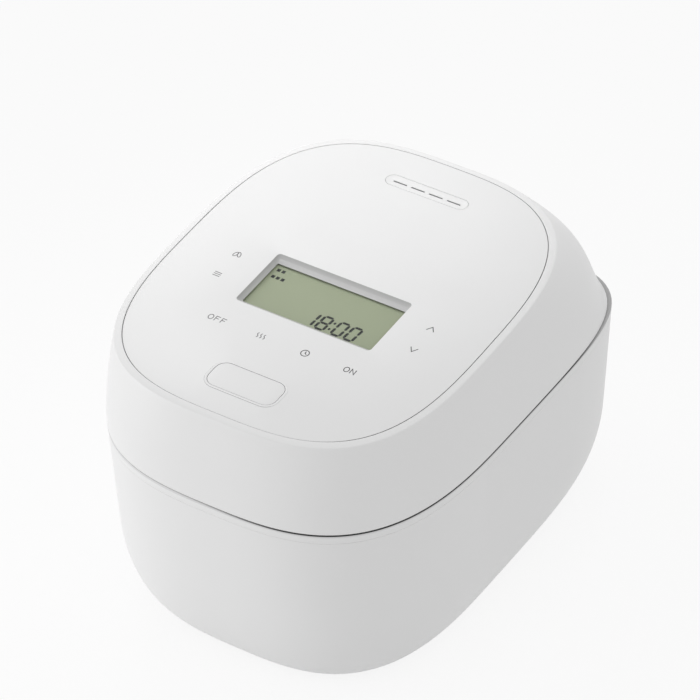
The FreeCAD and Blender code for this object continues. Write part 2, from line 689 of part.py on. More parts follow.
def body_shell():
    """The moulded case, open at the top, with a lip at the foot for the bottom cover."""
    thick = wall.number
    outside = body_loft(body_heights(foot_height.number, rim_z.number), 0)
    lip_top = cover_top.number + lip_thick.number
    hollow = body_loft([rim_z.number + 1] + body_heights(lip_top, rim_z.number), thick)
    lip_hole = prism(body_outline(foot_height.number, thick + lip_width.number), lip_top)
    seat = prism(body_outline(foot_height.number, thick), cover_thick.number)
    blank = shaped("case_blank", outside.cut(hollow).cut(lip_hole).cut(seat))
    inlet = box(
        "inlet_window",
        (-inlet_middle - inlet_width / 2 - fit_gap, inlet_width / 2 - inlet_middle + fit_gap),
        (board_back, axis_y + back_reach + wall),
        (cover_top + inlet_low - fit_gap, cover_top + inlet_low + inlet_height + fit_gap),
    )
    slots = []
    for index in range(exhaust_count):
        start = exhaust_start + exhaust_step * index
        low = (board_back, exhaust_low)
        slots.append(box(
            f"exhaust_{index}", (start, start + exhaust_slot), (low[0], axis_y + back_reach + wall),
            (low[1], low[1] + exhaust_height)
        ))
    keep(cut("case", blank, inlet, *slots), "body_shell")


def body_rim():
    """The upper frame: deck, seat for the pot's flange, latch window and trough for the lid's back edge."""
    blank = shaped("rim_blank", body_loft([rim_z.number, deck_z.number], 0))
    middle = (0, axis_y)
    opening = rod("pot_opening", well_radius, (rim_z, deck_z), middle)
    seat = rod("flange_seat", flange_radius + flange_gap, (flange_under, deck_z), middle)
    window = box(
        "latch_window", (-latch_half - window_side, latch_half + window_side),
        (latch_y - window_front, latch_y + window_back), (rim_z, deck_z)
    )
    trough = box(
        "hinge_trough", (-trough_half, trough_half), (hinge_y - trough_front, lid_back + trough_back),
        (deck_z - trough_depth, deck_z)
    )
    holes = [
        rod(f"hinge_hole_{side}", screw_radius + screw_gap, (rim_z, deck_z), (hinge_screw_side * side, hinge_y))
        for side in (-1, 1)
    ]
    keep(cut("rim", blank, opening, seat, window, trough, *holes), "body_rim")


def leg_places():
    """The four legs of the coil base, on the diagonals."""
    reach = leg_circle * cosine(Size("45", 45))
    return [(reach * side, axis_y + reach * end) for side in (-1, 1) for end in (-1, 1)]


def bottom_cover():
    """The flat cover under the case, with the fan's intake slots."""
    plan = body_outline(foot_height.number, wall.number + fit_gap.number)
    blank = shaped("cover_blank", prism(plan, cover_thick.number))
    ends = (foot_height, cover_top)
    tools = []
    for index in range(intake_count):
        middle = fan_middle + intake_step * (index - (intake_count - 1) / 2)
        tools.append(box(
            f"intake_{index}", (middle - intake_slot / 2, middle + intake_slot / 2),
            (board_y - fan_ahead - intake_length / 2, board_y - fan_ahead + intake_length / 2), ends
        ))
    for index, place in enumerate(leg_places()):
        tools.append(rod(f"cover_hole_{index}", screw_radius + screw_gap, ends, place))
    keep(cut("cover", blank, *tools), "bottom_cover")


def feet_and_screws():
    feet = []
    for side in (-1, 1):
        for along in (-foot_front, foot_back):
            feet.append(rod(f"foot_{len(feet)}", foot_radius, (0, foot_height), (foot_side * side, axis_y + along)))
    keep(group("feet", feet), "rubber_feet")
    keep(group("base_screws", [
        screw(f"base_screw_{index}", place, foot_height, cover_top + screw_grip)
        for index, place in enumerate(leg_places())
    ]), "bottom_screws")


def screw(name, place, seat, tip):
    """A screw from below: its head hangs under the seat and its shank goes up to the tip."""
    head = rod(name + "_head", screw_head, (seat - screw_head_thick, seat), place)
    shank = rod(name + "_shank", screw_radius, (seat - screw_head_thick / 2, tip), place)
    return join(name, head, shank)


def pot_and_well():
    well = turned("well", (
        (sensor_radius + sensor_guide_wall, well_under), (well_outside, well_under), (well_outside, rim_z - well_wall),
        (well_radius + well_flange, rim_z - well_wall), (well_radius + well_flange, rim_z), (well_radius, rim_z),
        (well_radius, well_floor), (sensor_radius + sensor_guide_wall, well_floor)
    ), 0, axis_y)
    round_edge(well, well_round + well_wall, well_outside, well_under)
    round_edge(well, well_round, well_radius, well_floor)
    keep(well, "well_liner")
    pot_inside = pot_radius - pot_wall
    pot = turned("pot", (
        (0, pot_lift), (pot_radius, pot_lift), (pot_radius, flange_under), (flange_radius, flange_under),
        (flange_radius, flange_top), (pot_inside, flange_top), (pot_inside, pot_lift + pot_wall),
        (0, pot_lift + pot_wall)
    ), 0, axis_y)
    round_edge(pot, pot_round, pot_radius, pot_lift)
    round_edge(pot, pot_round - pot_wall, pot_inside, pot_lift + pot_wall)
    keep(pot, "inner_pot")


def coils():
    """The coil base on its legs, the two flat coils on it, the coil round the well and the ferrite bars."""
    middle = (0, axis_y)
    guide_bore = sensor_radius + slide_gap
    guide_floor = pot_lift - rest_gap - sensor_length - sensor_travel - rest_gap - sensor_spring_length
    plate = rod("coil_plate", outer_coil_radius + coil_margin, (coil_base_under, coil_base_top), middle)
    tube = rod("guide_tube", guide_bore + sensor_guide_wall, (guide_floor - coil_base_thick, coil_base_top), middle)
    bore = rod("guide_bore", guide_bore, (guide_floor, coil_base_top), middle)
    legs = [
        rod(f"leg_{index}", leg_radius, (cover_top, coil_base_top), place) for index, place in enumerate(leg_places())
    ]
    holes = [
        rod(f"leg_hole_{index}", screw_radius + screw_gap, (cover_top, cover_top + screw_grip + screw_radius), place)
        for index, place in enumerate(leg_places())
    ]
    keep(cut("coil_holder", join("coil_holder_blank", plate, tube, *legs), bore, *holes), "coil_base")
    ends = (coil_base_top, coil_base_top + coil_thick)
    keep(ring("coil_inside", coil_hole, inner_coil_radius, ends, middle), "inner_coil")
    keep(ring("coil_outside", inner_coil_radius + coil_space, outer_coil_radius, ends, middle), "outer_coil")
    side_inside = well_outside + slide_gap
    side_low = well_floor + side_coil_low
    keep(ring(
        "coil_side", side_inside, side_inside + side_coil_thick, (side_low, side_low + side_coil_height), middle
    ), "side_coil")
    bars = []
    for index in range(ferrite_count):
        bar = box(
            f"ferrite_{index}", (coil_hole + ferrite_inset, outer_coil_radius - ferrite_inset),
            (-ferrite_width / 2, ferrite_width / 2), (coil_base_under - ferrite_thick, coil_base_under)
        )
        turn = group(f"ferrite_turn_{index}", [bar])
        turn.Placement.Rotation = FreeCAD.Rotation(Vector(0, 0, 1), 360 / ferrite_count * index)
        bars.append(put(turn, 0, axis_y, 0))
    keep(group("ferrites", bars), "ferrite_bars")
    spring_outside = sensor_radius - sensor_guide_wall
    keep(ring(
        "sensor_coil", spring_outside - sensor_spring_wire, spring_outside,
        (guide_floor, guide_floor + sensor_spring_length), middle
    ), "sensor_spring")
    top = pot_lift - rest_gap
    keep(rod("pot_sensor", sensor_radius, (top - sensor_length, top), middle), "sensor_cap")


def power_unit():
    """The upright power board with its heat sink, transistor and capacitor."""
    keep(box("board", (-board_left, -board_right), (board_y, board_back), (cover_top, cover_top + board_height)),
         "power_board")
    low = cover_top + sink_low
    sink_y = board_back + chip_thick
    left = -sink_middle - sink_width / 2
    plate = box("sink_base", (left, left + sink_width), (sink_y, sink_y + sink_plate), (low, low + sink_height))
    fins = []
    step = (sink_width - fin_thick) / (fin_count - 1)
    for index in range(fin_count):
        start = left + step * index
        fins.append(box(
            f"fin_{index}", (start, start + fin_thick), (sink_y, sink_y + sink_plate + sink_fin),
            (low, low + sink_height)
        ))
    keep(join("sink", plate, *fins), "heat_sink")
    chip_low = low + (sink_height - chip_height) / 2
    keep(box(
        "chip", (-sink_middle - chip_width / 2, chip_width / 2 - sink_middle), (board_back, sink_y),
        (chip_low, chip_low + chip_height)
    ), "power_transistor")
    capacitor_z = cover_top + capacitor_low
    keep(box(
        "capacitor", (-sink_middle - capacitor_width / 2, capacitor_width / 2 - sink_middle),
        (board_y - capacitor_depth, board_y), (capacitor_z, capacitor_z + capacitor_height)
    ), "filter_capacitor")


def fan():
    """The flat fan over the intake: square frame with struts and bearing, and the rotor below them."""
    middle = (fan_middle, board_y - fan_ahead)
    half = fan_size / 2
    top = cover_top + fan_thick
    strut_z = top - fan_strut_thick
    frame = box(
        "fan_block", (fan_middle - half, fan_middle + half), (middle[1] - half, middle[1] + half), (cover_top, top)
    )
    bore = rod("fan_bore", fan_bore, (cover_top, top), middle)
    across = box(
        "fan_strut_x", (fan_middle - half, fan_middle + half),
        (middle[1] - fan_strut / 2, middle[1] + fan_strut / 2), (strut_z, top)
    )
    along = box(
        "fan_strut_y", (fan_middle - fan_strut / 2, fan_middle + fan_strut / 2),
        (middle[1] - half, middle[1] + half), (strut_z, top)
    )
    seat = rod("fan_seat", fan_hub, (strut_z, top), middle)
    hole = rod("fan_bearing", shaft_radius + shaft_gap, (strut_z, top), middle)
    keep(cut("fan_body", join("fan_body_blank", cut("fan_ring", frame, bore), across, along, seat), hole), "fan_frame")
    low = cover_top + fan_low
    hub_top = strut_z - rest_gap
    hub = rod("rotor_hub", fan_hub, (low, hub_top), middle)
    shaft = rod("rotor_shaft", shaft_radius, (low, top), middle)
    blades = []
    root = fan_hub / 2
    for index in range(blade_count):
        blade = box(
            f"blade_{index}", (root, fan_bore - fan_tip_gap), (-blade_chord / 2, blade_chord / 2),
            (-blade_thick / 2, blade_thick / 2)
        )
        tip = group(f"blade_pitch_{index}", [blade])
        tip.Placement = FreeCAD.Placement(Vector(), FreeCAD.Rotation(Vector(1, 0, 0), blade_pitch.number))
        bind(tip, "Placement.Rotation.Angle", blade_pitch)
        turn = group(f"blade_turn_{index}", [tip])
        turn.Placement.Rotation = FreeCAD.Rotation(Vector(0, 0, 1), 360 / blade_count * index)
        blades.append(put(turn, *middle, (low + hub_top) / 2))
    keep(join("rotor", hub, shaft, *blades), "fan_rotor")


def inlet():
    """The mains inlet between the power board and the case's back, with its two contacts."""
    face = axis_y + back_reach - inlet_sink
    low = cover_top + inlet_low
    left = -inlet_middle - inlet_width / 2
    right = inlet_width / 2 - inlet_middle
    block = box("inlet_block", (left, right), (board_back, face), (low, low + inlet_height))
    floor = face - inlet_depth
    socket = box(
        "inlet_socket", (left + inlet_wall, right - inlet_wall), (floor, face),
        (low + inlet_wall, low + inlet_height - inlet_wall)
    )
    keep(cut("inlet_body", block, socket), "inlet_housing")
    keep(group("inlet_contacts", [
        rod(f"contact_{side}", contact_radius, (floor, floor + contact_length),
            (contact_space / 2 * side - inlet_middle, low + inlet_height / 2), "y")
        for side in (-1, 1)
    ]), "inlet_pins")


def hinge():
    """The hinge barrel on the deck, its pin, the two lid springs in it and its screws."""
    axis = (hinge_y, hinge_z)
    floor = deck_z - trough_depth
    length = (-barrel_half, barrel_half)
    barrel = rod("barrel", barrel_radius, length, axis, "x")
    stem = box("barrel_stem", length, (hinge_y - stem_half, hinge_y + stem_half), (floor, hinge_z))
    bore = rod("barrel_bore", hinge_pin_radius + screw_gap, length, axis, "x")
    chamber = barrel_radius - spring_room_wall
    chambers = [
        rod("spring_room_left", chamber, (-barrel_half, spring_length - barrel_half), axis, "x"),
        rod("spring_room_right", chamber, (barrel_half - spring_length, barrel_half), axis, "x"),
    ]
    tip = rim_z + screw_grip
    holes = [
        rod(f"stem_hole_{side}", screw_radius + screw_gap, (floor, tip + screw_gap), (hinge_screw_side * side, hinge_y))
        for side in (-1, 1)
    ]
    keep(cut("hinge_body", join("hinge_blank", barrel, stem), bore, *chambers, *holes), "hinge_bracket")
    reach = knuckle_end + hinge_pin_end
    keep(rod("lid_pin", hinge_pin_radius, (-reach, reach), axis, "x"), "hinge_pin")
    inner = hinge_pin_radius + spring_gap
    outer = chamber - spring_gap
    keep(group("lid_springs", [
        ring("spring_left", inner, outer, (-barrel_half, spring_length - barrel_half), axis, "x"),
        ring("spring_right", inner, outer, (barrel_half - spring_length, barrel_half), axis, "x"),
    ]), "hinge_springs")
    keep(group("barrel_screws", [
        screw(f"barrel_screw_{side}", (hinge_screw_side * side, hinge_y), rim_z, tip) for side in (-1, 1)
    ]), "hinge_screws")


def lid_shell():
    """The lid's outer moulding: leaning wall, shoulder, shelf for the panel and ledge for the inner cover."""
    thick = wall.number
    shares = (0, 0.2, 0.4, 0.6, 0.8, 1)
    outside = Part.makeLoft([loop(lid_section(share, 0)) for share in shares], True, False)
    shoulder = Part.makeLoft(
        [loop(lid_section(1, 0)), loop(panel_outline(panel_gap.number, 0))], True, True
    )
    under = -panel_thick.number - shelf_thick.number
    hollow = Part.makeLoft([loop(lid_section(share, thick)) for share in shares], True, False)
    turn = FreeCAD.Rotation(Vector(1, 0, 0), panel_tilt.number)
    up = turn.multVec(Vector(0, 0, 1))
    roof = Part.Face(loop(panel_outline(half_width.number, under))).extrude(up * lid_rise.number)
    ledge_plan = [Vector(point.x, point.y, lid_floor.number) for point in lid_section(0, thick)]
    ledge_hole = [Vector(point.x, point.y, lid_floor.number) for point in lid_section(0, thick + ledge_width.number)]
    ledge = prism(ledge_plan, ledge_thick.number).cut(prism(ledge_hole, ledge_thick.number))
    rear = Part.makeBox(
        half_width.number * 2, back_reach.number, deck_z.number,
        Vector(-half_width.number, hinge_y.number - ledge_end.number, lid_z.number)
    )
    hollow = hollow.cut(roof).cut(ledge.cut(rear))
    shelf_hole = Part.Face(loop(panel_outline(-shelf_width.number, under - wall.number)))
    shelf_hole = shelf_hole.extrude(up * lid_rise.number)
    seat = Part.Face(loop(panel_outline(panel_gap.number, -panel_thick.number))).extrude(up * lid_rise.number)
    blank = shaped("lid_blank", outside.fuse(shoulder).cut(hollow).cut(shelf_hole).cut(seat))
    half = knuckle_end + notch_side
    notch = box("hinge_notch", (-half, half), (hinge_y - ledge_end, lid_back + wall), (lid_z, hinge_z + notch_rise))
    holes = [
        rod(f"ledge_hole_{index}", screw_radius + screw_gap, (lid_floor, lid_floor + ledge_thick), place)
        for index, place in enumerate(lid_screw_places())
    ]
    keep(cut("lid_outer", blank, notch, *holes), "lid_shell")


def lid_screw_places():
    reach = half_width - wall - lid_screw_inset
    return [(reach * side, axis_y + lid_screw_space * end) for side in (-1, 1) for end in (-1, 1)]


def display_layer(depth):
    """The display opening's half sizes and corner radius at a number of layers below the panel's face."""
    return display_half_width - slope_side * depth, display_half_depth - slope_end * depth, display_round


def top_panel():
    """The flat top panel with openings for the display, the button and the steam vent."""
    plan = outline(
        panel_half_width.number, panel_half_length.number, panel_half_length.number,
        panel_front_power.number, panel_back_power.number
    )
    blank = shaped("panel_blank", prism([Vector(x, y, -panel_thick.number) for x, y in plan], panel_thick.number))
    display = tapered("display_cut", display_layer(0), display_layer(1), display_offset, (-panel_thick, 0))
    opening = button_opening(0)
    chamfer = tapered(
        "button_chamfer_cut", button_opening(button_chamfer), opening, button_offset, (-button_chamfer_depth, 0)
    )
    through = slab("button_cut", *opening, button_offset, (-panel_thick, 0))
    vent = capsule("vent_cut", vent_half, vent_radius, vent_offset, (-panel_thick, 0))
    keep(on_panel(cut("panel", blank, display, chamfer, through, vent)), "lid_top_panel")


def button_opening(grow):
    """The straight part of the button's opening, grown by a margin: half sizes and corner radius."""
    less = button_chamfer - grow
    return button_half_width - less, button_half_depth - less, button_round - less


def display():
    """Bezel, lens and display module under the panel, the control board and the touch springs on it."""
    lens_top = -panel_thick - bezel_thick
    bezel_half = (display_half_width + bezel_margin, display_half_depth + bezel_margin, display_round)
    bezel = slab("bezel_blank", *bezel_half, display_offset, (lens_top, -panel_thick))
    funnel = tapered("bezel_cut", display_layer(1), display_layer(2), display_offset, (lens_top, -panel_thick))
    keep(on_panel(cut("bezel", bezel, funnel)), "display_bezel")
    shown_x, shown_y, corner = display_layer(2)
    half = (shown_x + lens_margin, shown_y + lens_margin, corner)
    module_top = lens_top - lens_thick
    module_low = module_top - module_thick
    keep(on_panel(slab("lens", *half, display_offset, (module_top, lens_top))), "display_lens")
    keep(on_panel(slab("module", *half, display_offset, (module_low, module_top))), "lcd_module")
    board = box(
        "control", (-control_half_width, control_half_width), (-control_front, control_back),
        (module_low - board_thick, module_low)
    )
    keep(on_panel(group("control_plate", [board])), "control_board")
    springs = []
    for place in key_places():
        springs.append(rod(f"key_{len(springs)}", key_radius, (module_low, -panel_thick), place))
    keep(on_panel(group("keys", springs)), "touch_springs")


def key_places():
    """Two keys on each side of the display and a row of four below it."""
    sides = [
        (side_key_offset * side, side_key_first - side_key_step * row) for side in (-1, 1) for row in (0, 1)
    ]
    row = [(row_key_step * (index - 1.5), row_key_offset) for index in range(4)]
    return sides + row


def button():
    """The opening button, the guide that it slides in and its spring."""
    top = -panel_thick
    floor = -button_skirt - button_travel - fit_gap
    half_x, half_y, corner = button_opening(0)
    outer = slab(
        "guide_blank", half_x + guide_wall, half_y + guide_wall, corner + guide_wall, button_offset,
        (floor - guide_wall, top)
    )
    inner = slab("guide_cut", half_x, half_y, corner, button_offset, (floor, top))
    holes = [
        rod(f"stem_guide_{side}", stem_radius + slide_gap, (floor - guide_wall, floor), (stem_space * side, button_offset))
        for side in (-1, 1)
    ]
    keep(on_panel(cut("guide", outer, inner, *holes)), "button_guide")
    cap_x, cap_y, cap_round = half_x - fit_gap, half_y - fit_gap, corner - fit_gap
    cap = slab("button_blank", cap_x, cap_y, cap_round, button_offset, (-button_skirt, 0))
    pocket = slab(
        "button_pocket", cap_x - button_wall, cap_y - button_wall, cap_round - button_wall, button_offset,
        (-button_skirt, -button_wall)
    )
    stems = [
        rod(f"stem_{side}", stem_radius, (-stem_reach, -button_wall), (stem_space * side, button_offset))
        for side in (-1, 1)
    ]
    keep(on_panel(join("button_cap", cut("button_shell", cap, pocket), *stems)), "open_button")
    spring_top = -button_wall - button_travel - rest_gap
    spring = ring(
        "button_coil", button_spring_radius - button_spring_wire, button_spring_radius, (floor, spring_top),
        (0, button_offset)
    )
    keep(on_panel(spring), "button_spring")


def stem_end():
    """Where the button's stems end, in the cooker's own frame: along Y and up."""
    along = panel_y + button_offset * cosine(panel_tilt) + stem_reach * sine(panel_tilt)
    height = panel_z + button_offset * sine(panel_tilt) - stem_reach * cosine(panel_tilt)
    return along, height


def latch():
    """The latch lever below the button, its pin and spring, and the catch plate under the deck."""
    press_y, press_z = stem_end()
    arm_top = press_z - rest_gap
    width = (-latch_half, latch_half)
    leg_front = latch_y - latch_forward
    nose_z = deck_z - latch_nose_drop
    hub = rod("latch_hub", latch_hub, width, (latch_y, latch_z), "x")
    leg = box("latch_leg", width, (leg_front, leg_front + latch_thick), (nose_z - latch_nose, latch_z))
    nose = box("latch_nose", width, (leg_front, latch_y - rest_gap), (nose_z - latch_nose, nose_z))
    arm = box("latch_arm", width, (leg_front, press_y + paddle_reach), (arm_top - latch_arm, arm_top))
    brace = box("latch_brace", width, (leg_front, latch_y), (latch_z - latch_hub, arm_top))
    paddle = box(
        "latch_paddle", (-paddle_half, paddle_half), (press_y - paddle_reach, press_y + paddle_reach),
        (arm_top - latch_arm, arm_top)
    )
    bore = rod("latch_bore", latch_pin_radius + shaft_gap, width, (latch_y, latch_z), "x")
    keep(cut("latch", join("latch_blank", hub, leg, nose, arm, brace, paddle), bore), "latch_lever")
    reach = latch_half + cheek_gap + cheek_thick
    keep(rod("latch_axle", latch_pin_radius, (-reach, reach), (latch_y, latch_z), "x"), "latch_pin")
    keep(ring(
        "latch_coil", latch_pin_radius + spring_gap, latch_spring_radius,
        (latch_half + rest_gap, latch_half + cheek_gap - rest_gap), (latch_y, latch_z), "x"
    ), "latch_spring")
    keep(box(
        "catch", (-catch_half, catch_half), (latch_y, latch_y + catch_depth), (rim_z - catch_thick, rim_z)
    ), "latch_catch")


def lid_inner_cover():
    """The lid's floor, with the latch's cheeks, the hinge knuckles and the lid sensor's guide."""
    share = (lid_floor.number - lid_z.number) / (panel_z.number - lid_z.number)
    plan = [
        Vector(point.x, point.y, lid_cover_z.number)
        for point in lid_section(share, wall.number + fit_gap.number + rest_gap.number)
    ]
    blank = shaped("lid_floor_blank", prism(plan, cover_thick.number))
    ends = (lid_cover_z, lid_floor)
    rear = box("lid_floor_rear", (-half_width, half_width), (hinge_y - ledge_end, lid_back), ends)
    window = box(
        "lid_floor_window", (-latch_half - window_side, latch_half + window_side),
        (latch_y - window_front, latch_y + window_back), ends
    )
    plate = cut("lid_floor_plate", blank, rear, window)
    parts = [plate]
    cheek_start = latch_half + cheek_gap
    cheek_y = (latch_y - latch_hub, latch_y + latch_hub)
    for side, start in ((-1, -cheek_start - cheek_thick), (1, cheek_start)):
        parts.append(box(f"cheek_{side}", (start, start + cheek_thick), cheek_y, (lid_cover_z, latch_z + latch_hub)))
    arm_z = (hinge_z - knuckle_radius, hinge_z)
    for side, start in ((-1, -knuckle_end), (1, knuckle_start)):
        reach = (start, start + knuckle_width)
        parts.append(rod(f"knuckle_{side}", knuckle_radius, reach, (hinge_y, hinge_z), "x"))
        arm_y = (hinge_y - ledge_end - knuckle_width, hinge_y)
        parts.append(box(f"knuckle_arm_{side}", reach, arm_y, (lid_cover_z, lid_cover_z + knuckle_arm)))
        parts.append(box(f"knuckle_web_{side}", reach, (hinge_y - knuckle_radius, hinge_y), arm_z))
    sensor_place = (-valve_side, axis_y + valve_back)
    parts.append(rod(
        "lid_guide", lid_sensor_radius + slide_gap + lid_guide_wall, (lid_cover_z, lid_floor + lid_guide_height),
        sensor_place
    ))
    holes = [
        rod("lid_guide_bore", lid_sensor_radius + slide_gap, (lid_cover_z, lid_floor + lid_guide_height), sensor_place),
        rod("valve_hole", valve_radius + fit_gap, ends, (0, valve_y)),
        rod("safety_hole", safety_radius + fit_gap, ends, (valve_side, axis_y + valve_back)),
        rod("latch_pin_hole", latch_pin_radius + screw_gap, (-half_width, half_width), (latch_y, latch_z), "x"),
        rod("hinge_pin_hole", hinge_pin_radius + shaft_gap, (-half_width, half_width), (hinge_y, hinge_z), "x"),
    ]
    for index, place in enumerate(lid_screw_places()):
        holes.append(rod(f"lid_hole_{index}", screw_radius + screw_gap, ends, place))
    keep(cut("lid_floor", join("lid_floor_joined", *parts), *holes), "lid_inner_cover")
    keep(group("lid_fixings", [
        screw(f"lid_screw_{index}", place, lid_cover_z, lid_floor + ledge_thick)
        for index, place in enumerate(lid_screw_places())
    ]), "lid_screws")


def inner_lid():
    """The removable inner lid with its gasket, and the coil on the cover above it."""
    middle = (0, axis_y)
    edge = flange_radius - gasket_inset
    keep(ring("gasket", edge - gasket_width, edge, (gasket_z, plate_z), middle), "inner_lid_gasket")
    plate = rod("plate_blank", edge, (plate_z, lid_cover_z), middle)
    hole = rod("plate_hole", steam_hole, (plate_z, lid_cover_z), (0, valve_y))
    keep(cut("plate", plate, hole), "inner_lid_plate")
    place = (0, axis_y - lid_coil_shift)
    keep(ring("lid_winding", lid_coil_hole, lid_coil_radius, (lid_floor, lid_floor + lid_coil_thick), place), "lid_coil")


def steam_path():
    """The vent cap in the panel, the steam chamber, the pressure valve with its solenoid, and the safety valve."""
    half, radius = vent_half - vent_gap, vent_radius - vent_gap
    plug = capsule("vent_plug", half, radius, vent_offset, (-vent_depth, 0))
    flange = capsule(
        "vent_flange", half + vent_flange, radius + vent_flange, vent_offset,
        (-panel_thick - vent_flange_thick, -panel_thick)
    )
    hollow_z = trough_radius - trough_sink
    reach = half - trough_radius
    tools = [rod("vent_hollow", trough_radius, (-reach, reach), (vent_offset, hollow_z), "x")]
    for side in (-1, 1):
        end = doc.addObject("Part::Sphere", f"vent_hollow_end_{side}")
        bind(end, "Radius", trough_radius)
        tools.append(put(end, reach * side, vent_offset, hollow_z))
    for index in range(slit_count):
        middle = slit_step * (index - (slit_count - 1) / 2)
        tools.append(box(
            f"slit_{index}", (middle - slit_length / 2, middle + slit_length / 2),
            (vent_offset - slit_width / 2, vent_offset + slit_width / 2), (-vent_depth, 0)
        ))
    keep(on_panel(cut("vent", join("vent_blank", plug, flange), *tools)), "vent_cap")

    vent_y = panel_y + vent_offset * cosine(panel_tilt)
    front = valve_y - valve_radius - chamber_margin
    back = vent_y + vent_radius + vent_flange + chamber_margin
    top = panel_z - vent_depth + (vent_offset - vent_radius) * sine(panel_tilt) - rest_gap
    block = box("chamber_block", (-chamber_half, chamber_half), (front, back), (lid_floor, top))
    inside = chamber_half - chamber_wall
    room = box("chamber_room", (-inside, inside), (front + chamber_wall, back - chamber_wall), (lid_floor, top))
    ball_z = lid_cover_z + valve_floor + ball_radius
    passage = rod("chamber_passage", plunger_radius + slide_gap, (front, front + chamber_wall), (0, ball_z), "y")
    keep(cut("chamber", block, room, passage), "steam_chamber")

    place = (0, valve_y)
    housing = rod("valve_blank", valve_radius, (lid_cover_z, lid_cover_z + valve_height), place)
    cage = rod("valve_cage", valve_bore, (lid_cover_z + valve_floor, lid_cover_z + valve_height), place)
    seat = rod("valve_seat", steam_hole, (lid_cover_z, lid_cover_z + valve_floor), place)
    port = rod("valve_port", plunger_radius + slide_gap, (valve_y - valve_radius, valve_y), (0, ball_z), "y")
    keep(cut("valve", housing, cage, seat, port), "valve_housing")
    ball = doc.addObject("Part::Sphere", "ball")
    bind(ball, "Radius", ball_radius)
    keep(put(ball, 0, valve_y, ball_z + slide_gap), "valve_ball")

    coil_back = front - solenoid_space
    coil_front = coil_back - solenoid_length
    coil = box(
        "solenoid_block", (-solenoid_width / 2, solenoid_width / 2), (coil_front, coil_back),
        (lid_floor, lid_floor + solenoid_height)
    )
    bore = rod("solenoid_bore", plunger_radius + slide_gap, (coil_front, coil_back), (0, ball_z), "y")
    keep(cut("solenoid", coil, bore), "solenoid_body")
    keep(rod(
        "plunger", plunger_radius, (coil_front, valve_y - ball_radius - rest_gap), (0, ball_z), "y"
    ), "solenoid_plunger")
    keep(rod(
        "safety", safety_radius, (lid_cover_z, lid_cover_z + safety_height), (valve_side, axis_y + valve_back)
    ), "safety_valve")
    sensor_low = lid_cover_z + rest_gap
    keep(rod(
        "lid_probe", lid_sensor_radius, (sensor_low, sensor_low + lid_sensor_length), (-valve_side, axis_y + valve_back)
    ), "lid_sensor")


def write_pieces():
    """Stops on any failed object or broken shape, and writes one file for each piece."""
    doc.recompute()
    for item in doc.Objects:
        if "Invalid" in item.State or "Error" in item.State:
            raise RuntimeError(f"{item.Label} failed: {item.State}")
    for item in pieces:
        if item.Shape.isNull() or not item.Shape.isValid():
            raise RuntimeError(f"{item.Label} has no valid shape")
    os.makedirs("parts", exist_ok=True)
    for item in pieces:
        item.Shape.exportStep(f"parts/{item.Label}.step")
    print(f"wrote {len(pieces)} pieces")


body_shell()
body_rim()
bottom_cover()
feet_and_screws()
pot_and_well()
coils()
power_unit()
fan()
inlet()
hinge()
lid_shell()
top_panel()
display()
button()
latch()
lid_inner_cover()
inner_lid()
steam_path()
write_pieces()
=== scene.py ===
"""The looks of an induction rice cooker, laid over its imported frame.

Lengths are metres in the frame's own axes: +Z is up and the button side faces -Y.
"""

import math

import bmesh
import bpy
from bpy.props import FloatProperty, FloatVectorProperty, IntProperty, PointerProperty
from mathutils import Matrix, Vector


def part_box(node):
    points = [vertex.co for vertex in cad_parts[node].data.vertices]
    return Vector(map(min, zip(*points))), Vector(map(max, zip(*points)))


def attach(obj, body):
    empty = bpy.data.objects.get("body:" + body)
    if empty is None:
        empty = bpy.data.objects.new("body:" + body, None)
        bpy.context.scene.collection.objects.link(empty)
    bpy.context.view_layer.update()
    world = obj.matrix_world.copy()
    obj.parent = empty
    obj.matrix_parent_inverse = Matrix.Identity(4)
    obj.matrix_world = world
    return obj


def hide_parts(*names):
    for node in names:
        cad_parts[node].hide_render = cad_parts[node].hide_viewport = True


bl_info = {
    "name": "Rice cooker",
    "version": (1, 0, 0),
    "blender": (4, 5, 0),
    "location": "3D View > Sidebar > Cooker",
    "description": "Builds the shells, panel, display, pot and stage of a rice cooker",
    "category": "Object",
}

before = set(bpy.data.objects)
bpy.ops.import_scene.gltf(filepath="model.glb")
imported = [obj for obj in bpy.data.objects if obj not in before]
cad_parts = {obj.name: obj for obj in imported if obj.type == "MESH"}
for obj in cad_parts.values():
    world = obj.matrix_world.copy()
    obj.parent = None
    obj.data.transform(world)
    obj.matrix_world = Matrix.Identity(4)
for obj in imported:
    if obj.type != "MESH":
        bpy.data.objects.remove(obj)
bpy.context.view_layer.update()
frame_low, frame_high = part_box("body_rim")
pot_low, pot_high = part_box("inner_pot")
inlet_low, inlet_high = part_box("inlet_housing")

# Where the pot's upright axis stands along Y, and the number of points round each shell's outline.
AXIS_Y = (pot_low.y + pot_high.y) / 2
COLUMNS = 256

# Edges that turn by more than SHARP_ANGLE look sharp, and those past EASED_ANGLE are rounded.
SHARP_ANGLE = math.radians(38)
EASED_ANGLE = math.radians(50)

# Faces of the frame within FLAT_ANGLE, and points within SAME_PLACE, are joined before they are rounded.
FLAT_ANGLE = math.radians(0.5)
SAME_PLACE = 1e-6

# How far ink reaches into and out of the face that it is printed on.
INK_SINK = 0.00005
INK_RISE = 0.00003


def length(name, default, description):
    return FloatProperty(
        name=name, description=description, default=default, subtype="DISTANCE", unit="LENGTH"
    )


def lengths(name, default, description):
    return FloatVectorProperty(
        name=name, description=description, default=default, size=len(default), unit="LENGTH"
    )


def count(name, default, description):
    return IntProperty(name=name, description=description, default=default, min=1)


def angle(name, degrees, description):
    return FloatProperty(
        name=name, description=description, default=math.radians(degrees), subtype="ANGLE", unit="ROTATION"
    )


def number(name, default, description):
    return FloatProperty(name=name, description=description, default=default)


